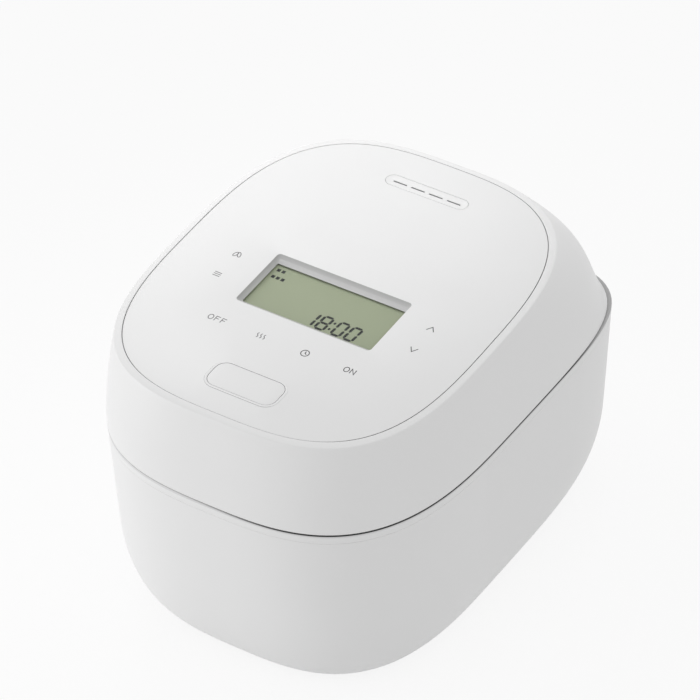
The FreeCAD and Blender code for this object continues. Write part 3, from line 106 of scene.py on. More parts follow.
def colour(name, default, description):
    return FloatVectorProperty(
        name=name, description=description, default=default, size=3, min=0, max=1, subtype="COLOR"
    )


class CaseSizes(bpy.types.PropertyGroup):
    """The case below the seam."""

    half_width: length("Half width", frame_high.x, "Middle to the widest point at the seam")
    front_reach: length("Front reach", AXIS_Y - frame_low.y, "Pot's axis to the front at the seam")
    back_reach: length("Back reach", 0.17, "Pot's axis to the back at the seam")
    deck: length("Deck", frame_high.z, "Height of the upper frame's top")
    frame_foot: length("Frame's foot", frame_low.z, "Height at which the upper frame sits on the case")
    foot: length("Foot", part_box("body_shell")[0].z, "Height of the case's lower edge")
    wall: length("Wall", 0.0025, "Thickness of the moulded shells")
    draft: angle("Draft", 2, "Lean of the case's walls")
    foot_draw: length("Foot draw", 0.0272, "How far the case draws in at its foot")
    foot_rise: length("Foot rise", 0.06275, "Height over which it draws in")
    seam_front: number("Front squareness", 2.95, "Squareness of the front at the seam")
    seam_back: number("Back squareness", 5.5, "Squareness of the back at the seam")
    foot_front: number("Foot's front squareness", 3.0, "Squareness of the front at the foot")
    foot_back: number("Foot's back squareness", 4.6, "Squareness of the back at the foot")
    edge: length("Edge", 0.0002, "Rounding of moulded edges")
    frame_edge: length("Frame's edge", 0.0011, "Rounding of the upper frame's top edge")
    slot_start: length("First slot", 0.008, "First exhaust slot right of the middle")
    slot_width: length("Slot width", 0.003, "Width of an exhaust slot")
    slot_step: length("Slot step", 0.008, "Spacing of the exhaust slots")
    slot_low: length("Slot foot", 0.034, "Exhaust slots above the floor")
    slot_height: length("Slot height", 0.028, "Height of an exhaust slot")
    slot_count: count("Slots", 8, "Number of exhaust slots")
    inlet_play: length("Inlet play", 0.0004, "Play round the mains inlet")
    seat_radius: length("Seat radius", 0.116, "Seat of the pot's flange in the deck")
    seat_floor: length("Seat floor", 0.14, "Height of that seat")
    opening_radius: length("Opening radius", 0.1065, "Opening for the pot")
    trough_half: length("Trough half width", 0.088, "Half the width of the trough behind the lid")
    trough_front: length("Trough front", AXIS_Y + 0.1475, "Front of that trough")
    trough_floor: length("Trough floor", 0.1395, "Height of its floor")
    # The seam fade, ledge fade, rim shade and deck shade paint shade into the upper frame under the lid.
    seam_fade: lengths("Seam fade", (-0.03, 0.06), "Where along X the shade in the seam starts and is full")
    ledge_fade: lengths("Ledge fade", (0.06, 0.11), "Where along Y the seam opens to the rear ledge")
    rim_shade: number("Rim tone", 0.17, "How dark the frame's rounded rim is below the lid")
    deck_shade: number("Deck tone", 0.5, "How dark the deck inside the seam is, from 0 to 1")
    window_half: length("Window half width", 0.008, "Half the width of the latch window")
    window_front: length("Window front", AXIS_Y - 0.143, "Front of the latch window")
    window_back: length("Window back", AXIS_Y - 0.1225, "Back of the latch window")


class LidSizes(bpy.types.PropertyGroup):
    """The lid's outer shell."""

    foot: length("Foot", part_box("lid_shell")[0].z, "Height of the lid's lower edge")
    back_reach: length("Back reach", 0.169, "Pot's axis to the lid's lower back edge")
    back: number("Back squareness", 4.94, "Squareness of the lid's back at the seam")
    late: number("Draw in", 1.69, "How late the lid's wall draws in")
    rear_late: number("Rear draw in", 0.8, "How late it draws in at the rear corners, at its foot")
    rear_rise: number("Rear rise", 1.3, "How much later it draws in there at its top")
    shoulder: length("Shoulder", 0.00507, "Width of the shoulder round the panel")
    shoulder_drop: length("Shoulder drop", 0.00076, "How far the shoulder falls outwards")
    proud: length("Proud", 0.00035, "How far the shoulder stands above the panel at the front and left")
    top_edge: length("Top edge", 0.0008, "Rounding between wall and shoulder")
    foot_edge: length("Foot edge", 0.0004, "Rounding of the lower edge")
    shelf_width: length("Shelf width", 0.004, "Shelf that the panel lies on")
    shelf_thick: length("Shelf thickness", 0.0025, "Thickness of that shelf")
    # Painted shade on the lid's inner walls.
    inside_shade: number("Inside tone", 0.2, "How dark the lid's inner walls are, from 0 to 1")
    notch_half: length("Notch half width", 0.0636, "Half the width of the hinge notch")
    notch_top: length("Notch top", 0.165, "Top of the hinge notch")
    notch_front: length("Notch front", AXIS_Y + 0.1435, "Front of the hinge notch")


class PanelSizes(bpy.types.PropertyGroup):
    """The top panel and what is set into it, measured along the panel from its middle."""

    middle_y: length("Middle along Y", AXIS_Y - 0.00045, "Panel's middle along the cooker")
    middle_z: length("Middle height", 0.2114, "Height of the panel's middle")
    tilt: angle("Tilt", 2.465, "Rise of the panel to the back")
    half_width: length("Half width", 0.11125, "Half the width of the panel")
    half_length: length("Half length", 0.13337, "Half the length of the panel")
    front: number("Front squareness", 3.14, "Squareness of the panel's front")
    back: number("Back squareness", 3.02, "Squareness of the panel's back")
    thick: length("Thickness", 0.002, "Thickness of the panel")
    gap: length("Gap", 0.00045, "Play round the panel")
    edge: length("Edge", 0.0004, "Rounding of the panel's edges")
    display_y: length("Display", -0.0157, "Display's middle")
    display_half_x: length("Display half width", 0.05, "Half the width of the display opening")
    display_half_y: length("Display half depth", 0.0251, "Half the depth of the display opening")
    display_corner: length("Display corner", 0.0025, "Corner radius of the display opening")
    slope_side: length("Side slope", 0.0011, "How far its side walls lean in, per layer")
    slope_end: length("Rear slope", 0.0026, "How far its rear wall leans in, per layer")
    slope_front: length("Front slope", 0.0022, "How far its front wall leans in, per layer")
    # Painted shade on the display's sloping walls, darkest under the panel's edge.
    slope_shade: number("Slope tone", 0.5, "How dark the display's walls are under the panel's edge")
    bezel_margin: length("Bezel margin", 0.004, "Bezel beyond its opening")
    lens_margin: length("Lens margin", 0.002, "Lens beyond the visible display")
    lens_thick: length("Lens thickness", 0.0012, "Thickness of the lens")
    module_thick: length("Module thickness", 0.004, "Thickness of the display module")
    button_y: length("Button", -0.1028, "Button's middle")
    button_half_x: length("Button half width", 0.0251, "Half the width of the button's opening")
    button_half_y: length("Button half depth", 0.0111, "Half the depth of the button's opening")
    button_corner: length("Button corner", 0.0076, "Corner radius of that opening")
    rim_width: length("Rim width", 0.0016, "Width of the low rim round the button")
    rim_rise: length("Rim rise", 0.0002, "Height of that rim")
    button_play: length("Button play", 0.00025, "Play round the button")
    button_skirt: length("Button skirt", 0.0085, "Height of the button")
    button_wall: length("Button wall", 0.002, "Thickness of the button")
    stem_space: length("Stem space", 0.014, "Button's stems from the middle")
    stem_radius: length("Stem radius", 0.003, "Radius of those stems")
    stem_reach: length("Stem reach", 0.018, "Stems' ends below the panel")
    key_row: length("Key row", -0.0617, "Row of key marks ahead of the display")
    key_line: length("Key line", 0.00055, "Line width of the key marks")
    vent_y: length("Vent", 0.1048, "Steam vent's middle")
    vent_half: length("Vent half length", 0.0305, "Half the length of the vent's opening")
    vent_radius: length("Vent radius", 0.0052, "End radius of the vent's opening")
    vent_play: length("Vent play", 0.0002, "Play round the vent cap")
    vent_depth: length("Vent depth", 0.008, "Depth of the vent cap")
    hollow_radius: length("Hollow radius", 0.013, "Radius of the vent's hollow")
    hollow_sink: length("Hollow depth", 0.0009, "Depth of the vent's hollow")
    slit_length: length("Slit length", 0.0102, "Length of a steam slit")
    slit_width: length("Slit width", 0.0011, "Width of a steam slit")
    slit_step: length("Slit step", 0.0134, "Spacing of the steam slits")
    # Painted shade on the slits' walls.
    slit_shade: number("Slit tone", 0.35, "How dark the slits' walls are, from 0 to 1")
    slit_count: count("Slits", 4, "Number of steam slits")


class CookerColours(bpy.types.PropertyGroup):
    """Colours of the finishes."""

    case_white: colour("Case", (0.81, 0.81, 0.81), "Satin white of the case and the lid")
    panel_white: colour("Panel", (0.8, 0.8, 0.8), "White of the top panel")
    button_white: colour("Button", (0.8, 0.8, 0.8), "White of the opening button")
    base_grey: colour("Base", (0.42, 0.42, 0.42), "Grey of the bottom cover")
    lid_grey: colour("Lid inside", (0.5, 0.51, 0.52), "Grey of the lid's inner cover")
    hidden_dark: colour("Hidden plastic", (0.03, 0.03, 0.035), "Dark plastic inside the cooker")
    well_dark: colour("Well", (0.06, 0.06, 0.065), "Dark plastic of the pot's well")
    rubber: colour("Rubber", (0.035, 0.035, 0.035), "Black rubber of the feet")
    seal: colour("Seal", (0.4, 0.41, 0.42), "Grey silicone of the gasket")
    pot_coating: colour("Pot coating", (0.045, 0.043, 0.042), "Dark coating of the pot")
    pot_fleck: colour("Pot fleck", (0.35, 0.31, 0.26), "Flecks in the pot's coating")
    steel: colour("Steel", (0.56, 0.56, 0.57), "Bare steel")
    brass: colour("Brass", (0.7, 0.52, 0.25), "Brass contacts")
    copper: colour("Copper", (0.55, 0.24, 0.11), "Enamelled copper wire")
    ferrite: colour("Ferrite", (0.05, 0.05, 0.055), "Ferrite bars")
    board: colour("Board", (0.02, 0.16, 0.06), "Circuit boards")
    component: colour("Component", (0.02, 0.02, 0.022), "Moulded components")
    display: colour("Display", (0.305, 0.348, 0.22), "Display without its figures")
    ink: colour("Ink", (0.006, 0.008, 0.007), "Figures of the display")
    print_grey: colour("Print", (0.05, 0.05, 0.052), "Darker marks printed on the panel")
    print_pale: colour("Pale print", (0.19, 0.19, 0.195), "Paler marks printed on the panel")
    floor: colour("Floor", (0.86, 0.86, 0.86), "Pale studio floor")


class StageSizes(bpy.types.PropertyGroup):
    """Camera and light."""

    azimuth: angle("Azimuth", 34.692, "Camera round to the right of the front")
    elevation: angle("Elevation", 39.865, "Camera above the level")
    roll: angle("Roll", 2.689, "Turn of the picture about its middle")
    distance: length("Distance", 2.859, "Camera to the point it looks at")
    lens: number("Lens", 232.0, "Focal length in millimetres")
    aim: lengths("Aim", (0.0001, AXIS_Y + 0.0098, 0.1526), "Point that the camera looks at")
    ambient: number("Ambient", 0.768, "Strength of the even light all round")
    key_power: number("Key light", 0.151, "Watts of the lamp over the panel's left")
    back_power: number("Back light", 0.024, "Watts of the narrow lamp high over the back")
    fill_power: number("Left light", 1.28, "Watts of the lamp at the left")
    floor_half: length("Floor half width", 3.0, "Half the width of the floor")


class CookerSettings(bpy.types.PropertyGroup):
    """All settings of the cooker."""

    case: PointerProperty(type=CaseSizes)
    lid: PointerProperty(type=LidSizes)
    panel: PointerProperty(type=PanelSizes)
    colours: PointerProperty(type=CookerColours)
    stage: PointerProperty(type=StageSizes)


def settings():
    return bpy.context.scene.cooker


# Outlines of the case, the lid and the panel


def outline_point(turn, half, front, back, front_power, back_power):
    """A point of a rounded outline at a turn that starts at the back."""
    across = math.sin(turn)
    along = math.cos(turn)
    power = back_power if along > 0 else front_power
    reach = back if along > 0 else front
    x = math.copysign(abs(across) ** (2 / power), across) * half
    y = math.copysign(abs(along) ** (2 / power), along) * reach
    return Vector((x, y, 0))


def turn_toward(bearing, half, front, back, front_power, back_power):
    """The turn at which an outline lies in a bearing from its middle."""
    across = math.sin(bearing)
    along = math.cos(bearing)
    power = back_power if along > 0 else front_power
    reach = back if along > 0 else front
    rise = (abs(across) / half) ** (power / 2)
    run = (abs(along) / reach) ** (power / 2)
    return math.atan2(math.copysign(rise, across), math.copysign(run, along))


def column_turns():
    """One turn for each column of the shells, evenly spread round the pot's axis."""
    case = settings().case
    shape = (case.half_width, case.front_reach, case.back_reach, case.seam_front, case.seam_back)
    return [turn_toward(2 * math.pi * index / COLUMNS, *shape) for index in range(COLUMNS)]


def case_loop(height, inset=0):
    """The case's outline at a height, drawn in by an inset."""
    case = settings().case
    drop = case.deck - height
    drawn = inset + drop * math.tan(case.draft)
    if height < case.foot_rise:
        share = 1 - height / case.foot_rise
        drawn += case.foot_draw * (1 - math.sqrt(1 - share * share))
    down = drop / case.deck
    shape = (
        case.half_width - drawn, case.front_reach - drawn, case.back_reach - drawn,
        case.seam_front + (case.foot_front - case.seam_front) * down,
        case.seam_back + (case.foot_back - case.seam_back) * down,
    )
    middle = Vector((0, AXIS_Y, height))
    return [middle + outline_point(turn, *shape) for turn in column_turns()]


def lid_loop(share, inset=0):
    """The lid's outline at a share of its height, drawn in by an inset."""
    case = settings().case
    lid = settings().lid
    shape = (
        case.half_width - inset, case.front_reach - inset, lid.back_reach - inset, case.seam_front, lid.back
    )
    middle = Vector((0, AXIS_Y, lid.foot))
    loop = []
    for turn, top in zip(column_turns(), panel_loop(lid.shoulder - inset, -lid.shoulder_drop)):
        foot = middle + outline_point(turn, *shape)
        corner = math.sin(2 * turn) ** 2 if math.cos(turn) > 0 else 0
        power = lid.late + (lid.rear_late + lid.rear_rise * share - lid.late) * corner
        point = foot.lerp(top, share ** power)
        point.z = foot.z + (top.z - foot.z) * share
        loop.append(point)
    return loop


def on_panel(point):
    """A place measured on the panel, in the cooker's own frame."""
    panel = settings().panel
    turned = Matrix.Rotation(panel.tilt, 3, "X") @ Vector(point)
    return turned + Vector((0, panel.middle_y, panel.middle_z))


def panel_loop(grow_by, height):
    """The panel's outline, grown by a margin, at a height above its face."""
    panel = settings().panel
    reach = panel.half_length + grow_by
    shape = (panel.half_width + grow_by, reach, reach, panel.front, panel.back)
    lift = Vector((0, 0, height))
    return [on_panel(outline_point(turn, *shape) + lift) for turn in column_turns()]


def arc(middle_x, middle_y, radius, start, end, steps=8):
    """Points of a circle's arc between two angles in degrees."""
    points = []
    for step in range(steps + 1):
        turn = math.radians(start + (end - start) * step / steps)
        points.append((middle_x + radius * math.cos(turn), middle_y + radius * math.sin(turn)))
    return points


def round_plan(middle_x, middle_y, radius, steps):
    """Points of a full circle."""
    return arc(middle_x, middle_y, radius, 0, 360 - 360 / steps, steps - 1)


def rounded_loop(half_x, half_y, corner, middle_y, height):
    """A rounded rectangle on the panel."""
    x = half_x - corner
    y = half_y - corner
    plan = arc(x, y, corner, 0, 90) + arc(-x, y, corner, 90, 180)
    plan += arc(-x, -y, corner, 180, 270) + arc(x, -y, corner, 270, 360)
    return [on_panel((px, middle_y + py, height)) for px, py in plan]


def stadium_loop(half, radius, middle_y, height):
    """A strip with half-round ends on the panel."""
    reach, steps = half - radius, 16
    plan = arc(reach, 0, radius, -90, 90, steps) + arc(-reach, 0, radius, 90, 270, steps)
    return [on_panel((px, middle_y + py, height)) for px, py in plan]


def rectangle_loop(low, high, height):
    """A level rectangle between two corners."""
    plan = ((low[0], low[1]), (high[0], low[1]), (high[0], high[1]), (low[0], high[1]))
    return [Vector((x, y, height)) for x, y in plan]


def circle_loop(radius, height, middle=(0, AXIS_Y), steps=COLUMNS):
    """A level circle, which starts at the back."""
    x, y = middle
    turns = [2 * math.pi * index / steps for index in range(steps)]
    return [Vector((x + radius * math.sin(turn), y + radius * math.cos(turn), height)) for turn in turns]


def bend(start, corner, end, steps=6):
    """Loops that turn smoothly from one loop to another round a loop of corners."""
    loops = []
    for step in range(steps + 1):
        share = step / steps
        loops.append([a.lerp(b, share).lerp(b.lerp(c, share), share) for a, b, c in zip(start, corner, end)])
    return loops


def ramp(value, start, end):
    """Goes smoothly from 0 to 1 as a value goes from start to end."""
    share = min(1, max(0, (value - start) / (end - start)))
    return share * share * (3 - 2 * share)


def between(first, second, share):
    """A loop at a share of the way from one loop to another."""
    return [a.lerp(b, share) for a, b in zip(first, second)]


# Openings in the panel, and the painted shade in the gaps round them


def display_loop(layers, grow_by, height):
    """The display's opening at a number of layers below the panel's face."""
    panel = settings().panel
    half_x = panel.display_half_x - panel.slope_side * layers + grow_by
    half_y = panel.display_half_y - (panel.slope_end + panel.slope_front) / 2 * layers + grow_by
    middle_y = panel.display_y + (panel.slope_front - panel.slope_end) / 2 * layers
    corner_loss = 0.3
    corner = panel.display_corner * (1 - layers * corner_loss) + grow_by
    return rounded_loop(half_x, half_y, corner, middle_y, height)


def button_loop(grow_by, height):
    """The button's opening, grown by a margin."""
    panel = settings().panel
    half_x, half_y = panel.button_half_x + grow_by, panel.button_half_y + grow_by
    return rounded_loop(half_x, half_y, panel.button_corner + grow_by, panel.button_y, height)


def vent_loop(grow_by, height):
    """The vent's opening, grown by a margin."""
    panel = settings().panel
    return stadium_loop(panel.vent_half + grow_by, panel.vent_radius + grow_by, panel.vent_y, height)


def button_shades():
    """Painted shade at each point on the foot of the button's rim and in the gap inside it."""
    panel = settings().panel
    end_fade, front_fade = (0.8, 1), (0.5, 1)
    front_shade, back_shade = 0.7, 0.6
    middle = on_panel((0, panel.button_y, 0)).y
    outer, inner = [], []
    for point in button_loop(0, 0):
        across = point.x / panel.button_half_x
        front = ramp((middle - point.y) / panel.button_half_y, *front_fade)
        outer.append(max(ramp(-across, *end_fade), front * front_shade))
        inner.append(max(ramp(abs(across), *end_fade), back_shade - front / 2))
    return outer, inner


def groove_sizes():
    """The rounding of the edges at the groove round the panel, and the depth at which its painted shade starts.
    """
    edge = settings().panel.edge
    return edge / 3, edge * 0.4


def groove_shades():
    """Painted shade in the groove round the panel at each point: fine at the left and back, full at the right
    where the groove shows open.
    """
    reach = settings().panel.half_width
    right_fade, back_fade = (reach * 0.3, reach * 0.6), (0.04, 0.1)
    fine_shade = 0.12
    shades = []
    for point in panel_loop(0, 0):
        opening = ramp(point.x, *right_fade) * (1 - ramp(point.y, *back_fade))
        shades.append(fine_shade + (1 - fine_shade) * opening)
    return shades


def slope_shade(layers):
    """Painted shade on the display's walls at a number of layers below the panel's face."""
    fade_per_layer = 0.25
    return settings().panel.slope_shade * (1 - layers * fade_per_layer)


# Meshes


class Skin:
    """A mesh in the making, drawn as loops of points. Each point keeps how much painted shade darkens its
    colour, in gaps and recesses.
    """

    def __init__(self):
        self.mesh = bmesh.new()
        self.recess = self.mesh.verts.layers.float.new("recess")

    def loop(self, points, recess=0):
        corners = [self.mesh.verts.new(point) for point in points]
        for index, corner in enumerate(corners):
            # recess holds painted shade: 0 leaves a point's colour as it is, and 1 darkens it to near black.
            corner[self.recess] = recess if isinstance(recess, (int, float)) else recess[index]
        return corners

    def wall(self, first, second):
        """Joins two loops of one count by smooth faces."""
        for index, corner in enumerate(first):
            after = (index + 1) % len(first)
            self.mesh.faces.new((corner, first[after], second[after], second[index])).smooth = True

    def walls(self, sections, recess=0, start=None):
        """Joins a run of loops given as points to a first loop, and hands back the first and the last."""
        loops = [self.loop(points, recess) for points in sections]
        if start:
            loops.insert(0, start)
        for before, after in zip(loops, loops[1:]):
            self.wall(before, after)
        return loops[0], loops[-1]

    def solid(self, sections):
        """Joins a run of loops and closes both its ends by flat faces."""
        for end in self.walls(sections):
            self.fill(end)

    def fill(self, *loops):
        """A flat face: the first loop is its edge and the others are holes in it."""
        edges = []
        for loop in loops:
            for index, corner in enumerate(loop):
                pair = (loop[index - 1], corner)
                edges.append(self.mesh.edges.get(pair) or self.mesh.edges.new(pair))
        bmesh.ops.triangle_fill(self.mesh, edges=edges, use_beauty=True)

    def tip(self, loop, point):
        """Closes a loop to a point."""
        end = self.mesh.verts.new(point)
        for index, corner in enumerate(loop):
            self.mesh.faces.new((loop[index - 1], corner, end)).smooth = True

    def lathe(self, profile, middle=(0, AXIS_Y), steps=COLUMNS // 2, closed=False):
        """Turns a profile of radius and height about an upright axis."""
        rings = [circle_loop(radius, z, middle, steps) for radius, z in profile if radius > 0]
        first, last = self.walls(rings)
        if closed:
            self.wall(last, first)
        else:
            self.tip(first, (*middle, profile[0][1]))
            self.tip(last, (*middle, profile[-1][1]))

    def prism(self, plan, low, high):
        """A flat shape on the panel between two heights."""
        self.solid([[on_panel((x, y, z)) for x, y in plan] for z in (high, low)])

    def stroke(self, points, width, low, high, closed=False):
        """A line drawn on the panel with a width, between two heights."""
        sharpest = 0.4
        points = [Vector(point) for point in points]
        last = len(points) - 1
        left, right = [], []
        for index, point in enumerate(points):
            before = points[index - 1] if index or closed else point
            after = points[(index + 1) % len(points)] if index < last or closed else point
            ahead = (after - point).normalized()
            mean = (ahead + (point - before).normalized()).normalized()
            narrowed = max(mean.dot(ahead), sharpest) if after != point else 1
            across = Vector((-mean.y, mean.x)) * width / 2 / narrowed
            left.append(point + across)
            right.append(point - across)
        if not closed:
            self.prism(left + right[::-1], low, high)
            return
        sides = ((left, high), (left, low), (right, low), (right, high))
        first, end = self.walls([[on_panel((*point, z)) for point in side] for side, z in sides])
        self.wall(end, first)

    def piece(self, name):
        """Turns the faces outwards and makes an object of the mesh."""
        bmesh.ops.recalc_face_normals(self.mesh, faces=self.mesh.faces)
        data = bpy.data.meshes.new(name)
        self.mesh.to_mesh(data)
        self.mesh.free()
        data.set_sharp_from_angle(angle=SHARP_ANGLE)
        return add_object(name, data)


def add_object(name, data):
    piece = bpy.data.objects.new(name, data)
    bpy.context.scene.collection.objects.link(piece)
    return piece


def smooth(data):
    """Shades a mesh smoothly between its sharp edges."""
    for face in data.polygons:
        face.use_smooth = True
    data.set_sharp_from_angle(angle=SHARP_ANGLE)


def settle(piece):
    """Makes a plain mesh of a piece and its modifiers."""
    graph = bpy.context.evaluated_depsgraph_get()
    data = bpy.data.meshes.new_from_object(piece.evaluated_get(graph))
    piece.modifiers.clear()
    piece.data = data
    return piece


def carve(piece, *cutters):
    """Cuts blocks out of a piece."""
    for cutter in cutters:
        cut = piece.modifiers.new(cutter.name, "BOOLEAN")
        cut.operation = "DIFFERENCE"
        cut.solver = "EXACT"
        cut.object = cutter
    settle(piece)
    for cutter in cutters:
        bpy.data.objects.remove(cutter)
    piece.data.set_sharp_from_angle(angle=SHARP_ANGLE)
    return piece


def ease(piece, width):
    """Rounds the sharp edges of a piece."""
    bevel = piece.modifiers.new("eased_edges", "BEVEL")
    bevel.width = width
    bevel.segments = 2
    bevel.limit_method = "ANGLE"
    bevel.angle_limit = EASED_ANGLE
    bevel.harden_normals = True
    return settle(piece)


def block(name, low, high):
    """A block between two corners, to cut with."""
    skin = Skin()
    skin.solid([rectangle_loop(low, high, low[2]), rectangle_loop(low, high, high[2])])
    return skin.piece(name)


def refined(node, name, width):
    """A smooth copy of a node of the frame, with its sharp edges rounded."""
    mesh = bmesh.new()
    mesh.from_mesh(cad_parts[node].data)
    bmesh.ops.remove_doubles(mesh, verts=mesh.verts, dist=SAME_PLACE)
    bmesh.ops.dissolve_limit(mesh, angle_limit=FLAT_ANGLE, verts=mesh.verts, edges=mesh.edges)
    data = bpy.data.meshes.new(name)
    mesh.to_mesh(data)
    mesh.free()
    smooth(data)
    return ease(add_object(name, data), width)


def present(piece, body, slot, finish, *nodes):
    """Gives a finished piece its material and its body, and hides the nodes of the frame that it stands for."""
    piece.data.materials.clear()
    piece.data.materials.append(finish)
    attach(piece, body)
    if nodes:
        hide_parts(*nodes)
    return piece


def paint(finish, *nodes):
    """Gives nodes of the frame a finish."""
    for node in nodes:
        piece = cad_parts[node]
        for place in piece.material_slots:
            place.material = finish


# Node trees


class Tree:
    """A node tree in the making."""

    def __init__(self, tree):
        self.tree = tree

    def node(self, kind, choices, inputs):
        """Adds a node: its choices are set first, then the values or links of its sockets."""
        node = self.tree.nodes.new(kind)
        for name, value in choices.items():
            setattr(node, name, value)
        for name, value in inputs.items():
            self.feed(node.inputs[name], value)
        return node

    def feed(self, socket, value):
        if isinstance(value, Value):
            value = value.socket
        if isinstance(value, bpy.types.NodeSocket):
            self.tree.links.new(value, socket)
        else:
            socket.default_value = value


class Value:
    """A number that changes over a surface: sums with it add Math nodes to its tree."""

    def __init__(self, tree, socket):
        self.tree = tree
        self.socket = socket

    def maths(self, operation, *terms):
        node = self.tree.node("ShaderNodeMath", {"operation": operation}, dict(enumerate(terms)))
        return Value(self.tree, node.outputs[0])

    def __add__(self, other):
        return self.maths("ADD", self, other)

    def __sub__(self, other):
        return self.maths("SUBTRACT", self, other)

    def __rsub__(self, other):
        return self.maths("SUBTRACT", other, self)

    def __mul__(self, other):
        return self.maths("MULTIPLY", self, other)

    def __gt__(self, other):
        return self.maths("GREATER_THAN", self, other)

    __radd__ = __add__
    __rmul__ = __mul__

    def sine(self):
        return self.maths("SINE", self)

    def swing(self, amount):
        """A change that goes half of an amount up and half down as this number goes from 1 to 0."""
        return (self - 0.5) * amount


def seen_rays(tree):
    """1 for what the camera sees, be it straight, in a gloss or through a window."""
    path = tree.node("ShaderNodeLightPath", {}, {}).outputs
    return Value(tree, path["Is Camera Ray"]) + path["Is Glossy Ray"] + path["Is Transmission Ray"]


class Finish(Tree):
    """A material in the making."""

    def __init__(self, name, constants):
        self.material = bpy.data.materials.new(name)
        self.material.use_nodes = True
        super().__init__(self.material.node_tree)
        self.shader = self.tree.nodes["Principled BSDF"]
        for socket, value in constants.items():
            self.set(socket, value)

    def set(self, socket, value):
        self.feed(self.shader.inputs[socket], value)

    def place(self, stretch=(1, 1, 1), shift=(0, 0, 0)):
        """Object coordinates, stretched and shifted."""
        source = self.node("ShaderNodeTexCoord", {}, {}).outputs["Object"]
        inputs = {"Vector": source, "Scale": stretch, "Location": shift}
        return self.node("ShaderNodeMapping", {}, inputs).outputs["Vector"]

    def noise(self, scale, detail=2, place=None):
        inputs = {"Vector": place or self.place(), "Scale": scale, "Detail": detail}
        return Value(self, self.node("ShaderNodeTexNoise", {}, inputs).outputs["Fac"])

    def mix(self, share, first, second):
        """A colour between two colours."""
        inputs = {0: share, 6: first, 7: second}
        return self.node("ShaderNodeMix", {"data_type": "RGBA"}, inputs).outputs[2]

    def tint(self, share, tone, darkest, lightest):
        """A colour between a darker and a lighter shade of one tone."""
        return self.mix(share, shade(tone, darkest), shade(tone, lightest))

    def radius(self):
        """The distance from the pot's axis."""
        place = self.place((1, 1, 0), (0, -AXIS_Y, 0))
        node = self.node("ShaderNodeVectorMath", {"operation": "LENGTH"}, {0: place})
        return Value(self, node.outputs["Value"])

    def bump(self, height, strength, depth):
        inputs = {"Height": height, "Strength": strength, "Distance": depth}
        self.set("Normal", self.node("ShaderNodeBump", {}, inputs).outputs["Normal"])


def shade(tone, factor):
    """A colour made lighter or darker, with full alpha."""
    return tuple(min(1, part * factor) for part in tone) + (1,)


def moulded(name, tone, roughness, grain=2600, depth=0.00002):
    """Moulded plastic: a fine spark-eroded grain, sheen and tone that drift a little, and painted shade from
    the recess attribute.
    """
    finish = Finish(name, {"IOR": 1.5})
    drift = finish.noise(scale=14, detail=3)
    fine = finish.noise(scale=grain, detail=2)
    # Painted shade: the recess attribute mixes the colour toward a near-black shade of the tone in gaps and
    # recesses.
    recess = finish.node("ShaderNodeAttribute", {"attribute_name": "recess"}, {}).outputs["Fac"]
    surface = finish.tint(drift, tone, darkest=0.985, lightest=1.01)
    painted_shade_colour = shade(tone, 0.05)
    finish.set("Base Color", finish.mix(recess, surface, painted_shade_colour))
    finish.set("Roughness", roughness + drift.swing(0.08) + fine.swing(0.06))
    finish.bump(fine, strength=0.25, depth=depth)
    return finish.material


def rubbery(name, tone):
    """Matt rubber or silicone with a dusty, uneven sheen."""
    finish = Finish(name, {"IOR": 1.45})
    roughness = 0.68
    drift = finish.noise(scale=60, detail=4)
    finish.set("Base Color", finish.tint(drift, tone, darkest=0.8, lightest=1.25))
    finish.set("Roughness", roughness + drift.swing(0.2))
    finish.bump(finish.noise(scale=1800, detail=3), strength=0.4, depth=0.00003)
    return finish.material


def brushed(name, tone, roughness, stretch):
    """Metal with fine lines along one direction."""
    finish = Finish(name, {"Metallic": 1})
    lines = finish.noise(scale=90, detail=4, place=finish.place(stretch))
    finish.set("Base Color", finish.tint(lines, tone, darkest=0.86, lightest=1.1))
    finish.set("Roughness", roughness + lines.swing(0.16))
    finish.bump(lines, strength=0.12, depth=0.00002)
    return finish.material


def spun(name, tone, roughness):
    """Metal turned on a lathe: fine rings about the pot's axis."""
    finish = Finish(name, {"Metallic": 1})
    inputs = {"W": finish.radius(), "Scale": 1500, "Detail": 3}
    wave = finish.node("ShaderNodeTexNoise", {"noise_dimensions": "1D"}, inputs)
    rings = Value(finish, wave.outputs["Fac"])
    finish.set("Base Color", finish.tint(rings, tone, darkest=0.88, lightest=1.08))
    finish.set("Roughness", roughness + rings.swing(0.14))
    finish.bump(rings, strength=0.1, depth=0.00002)
    return finish.material


def speckled(name, tone, fleck):
    """A hard coating with small bright flecks in it."""
    finish = Finish(name, {"IOR": 1.5})
    roughness, rarity, brightness = 0.36, 0.74, 0.7
    dots = finish.noise(scale=900, detail=1) > rarity
    drift = finish.noise(scale=25, detail=3)
    finish.set("Base Color", finish.mix(dots * brightness, shade(tone, 1), shade(fleck, 1)))
    finish.set("Roughness", roughness + drift.swing(0.12) + dots * 0.08)
    finish.bump(finish.noise(scale=1500, detail=3), strength=0.2, depth=0.00003)
    return finish.material


def wound(name, tone):
    """Enamelled wire laid in rings about the pot's axis, with painted shade in the grooves between the turns.
    """
    finish = Finish(name, {"Metallic": 0.75})
    roughness, turns_per_metre = 0.38, 3100
    ridge = (finish.radius() * turns_per_metre).sine()
    # Painted shade: the colour darkens where the ridge dips, in the grooves between the turns.
    finish.set("Base Color", finish.tint(ridge * 0.5 + 0.5, tone, darkest=0.55, lightest=1))
    finish.set("Roughness", roughness + ridge * 0.06)
    finish.bump(ridge, strength=0.5, depth=0.0004)
    return finish.material


